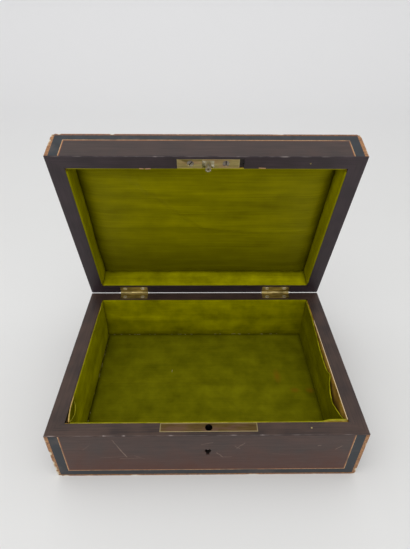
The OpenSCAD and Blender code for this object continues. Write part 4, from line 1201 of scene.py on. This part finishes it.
# Loose fold
# Beside the gap at its front end, the left lining's top has pulled out into a small lip of silk. It
# is one bowed sheet, in a lighter copy of the silk as painted light, with a painted highlight as a
# pale line where it was folded over the card's edge.
LIP_Y = (-75.0, -54.0)
LIP_DEEP = 7.0
LIP_OUT = 3.4
shape = bmesh.new()
cloth = shape.loops.layers.uv.new("cloth")
fold = shape.verts.layers.float.new("fold")
shape.verts.layers.float.new("crease")
bmesh.ops.create_grid(shape, x_segments=14, y_segments=8, size=0.5)
low, high = case_box("base_left_silk")
for v in shape.verts:
    along, down = v.co.x + 0.5, 0.5 - v.co.y
    y = LIP_Y[0] + (LIP_Y[1] - LIP_Y[0]) * along
    bow = math.sin(math.pi * along)
    share = max(0.0, 1 - LIP_DEEP * down / 50) ** 1.5
    x = low.x / MM + 0.4 + left_gap(y) * share + LIP_OUT * bow * (1 - down) ** 0.8
    z = high.z / MM - 0.3 - LIP_DEEP * down * (0.4 + 0.6 * bow) - 0.8 * bow
    v[fold] = max(0.0, 1 - 4 * down)
    v.co = Vector((x, y, z)) * MM
for f in shape.faces:
    for corner in f.loops:
        corner[cloth].uv = Vector((corner.vert.co.y, corner.vert.co.z)) / (100 * MM)
bmesh.ops.solidify(shape, geom=shape.faces[:], thickness=0.6 * MM)
bmesh.ops.recalc_face_normals(shape, faces=shape.faces)
# A lighter copy of the silk, as painted light, with a painted highlight along its fold
fold_silk = silk("slubbed_silk_fold", "#8a8400", "#b8b008", 0.1, fold_pale="#cfc84e", broken=1.0)
lip = piece("loose_fold", shape, fold_silk, "base")


# Glued flakes
# Flakes of pale glued paper that stick out at the inner edge of the lid's front rim, left over from
# what once held the lining's edge down. They are dull and dry.
# Each flake has a place across and back, a length, a width and a turn in degrees
FLAKES = [(-51.6, -77.6, 3.4, 0.8, 4), (-46.4, -77.5, 4.2, 0.9, -3), (43.6, -78.2, 5.5, 0.8, 3)]
FLAKE_THICK = 0.3
FLAKE_RISE = 0.1

flake_paper = finish_of("pale_glued_paper", Roughness=0.85, Base_Color=srgb("#b98f66"))[0]
shape = bmesh.new()
for x, y, length, wide, turned in FLAKES:
    place = Matrix.Translation(Vector((x, y, FLAKE_RISE)) * MM)
    place = place @ Matrix.Rotation(math.radians(turned), 4, "Z")
    place = place @ Matrix.Diagonal((length * MM, wide * MM, FLAKE_THICK * MM, 1))
    bmesh.ops.create_cube(shape, size=1, matrix=place)
flakes = piece("glued_flakes", shape, flake_paper, "lid")


# Brads
# Three small round wire nails: one driven into each rim right of the lock, and one in the recess
# beside the link plate.
BRAD_R = 0.8
BRAD_T = 0.12
BRAD_SUNK = 0.06
SHANK_R = 0.4
SHANK_LONG = 1.0
BRADS = [
    ("brad_base", "base", base_brass, 81.0, -82.7, rim_mm),
    ("brad_lid", "lid", lid_brass, 81.0, -82.6, 0.0),
    ("brad_link", "lid", link_steel, 28.6, -82.2, 1.0),
]

for name, body, metal, x, y, z in BRADS:
    up = 1 if body == "base" else -1
    shape = bmesh.new()
    bmesh.ops.create_uvsphere(shape, u_segments=12, v_segments=8, radius=1)
    bmesh.ops.scale(shape, verts=shape.verts, vec=(BRAD_R * MM, BRAD_R * MM, BRAD_T * MM))
    bmesh.ops.translate(shape, verts=shape.verts, vec=Vector((x, y, z - up * BRAD_SUNK)) * MM)
    if name == "brad_link":
        # Its shank reaches down to the floor of the recess
        middle = Vector((x, y, z + SHANK_LONG / 2)) * MM
        bmesh.ops.create_cone(shape, cap_ends=True, segments=10, radius1=SHANK_R * MM,
                              radius2=SHANK_R * MM, depth=SHANK_LONG * MM,
                              matrix=Matrix.Translation(middle))
    brad = piece(name, shape, metal, body)
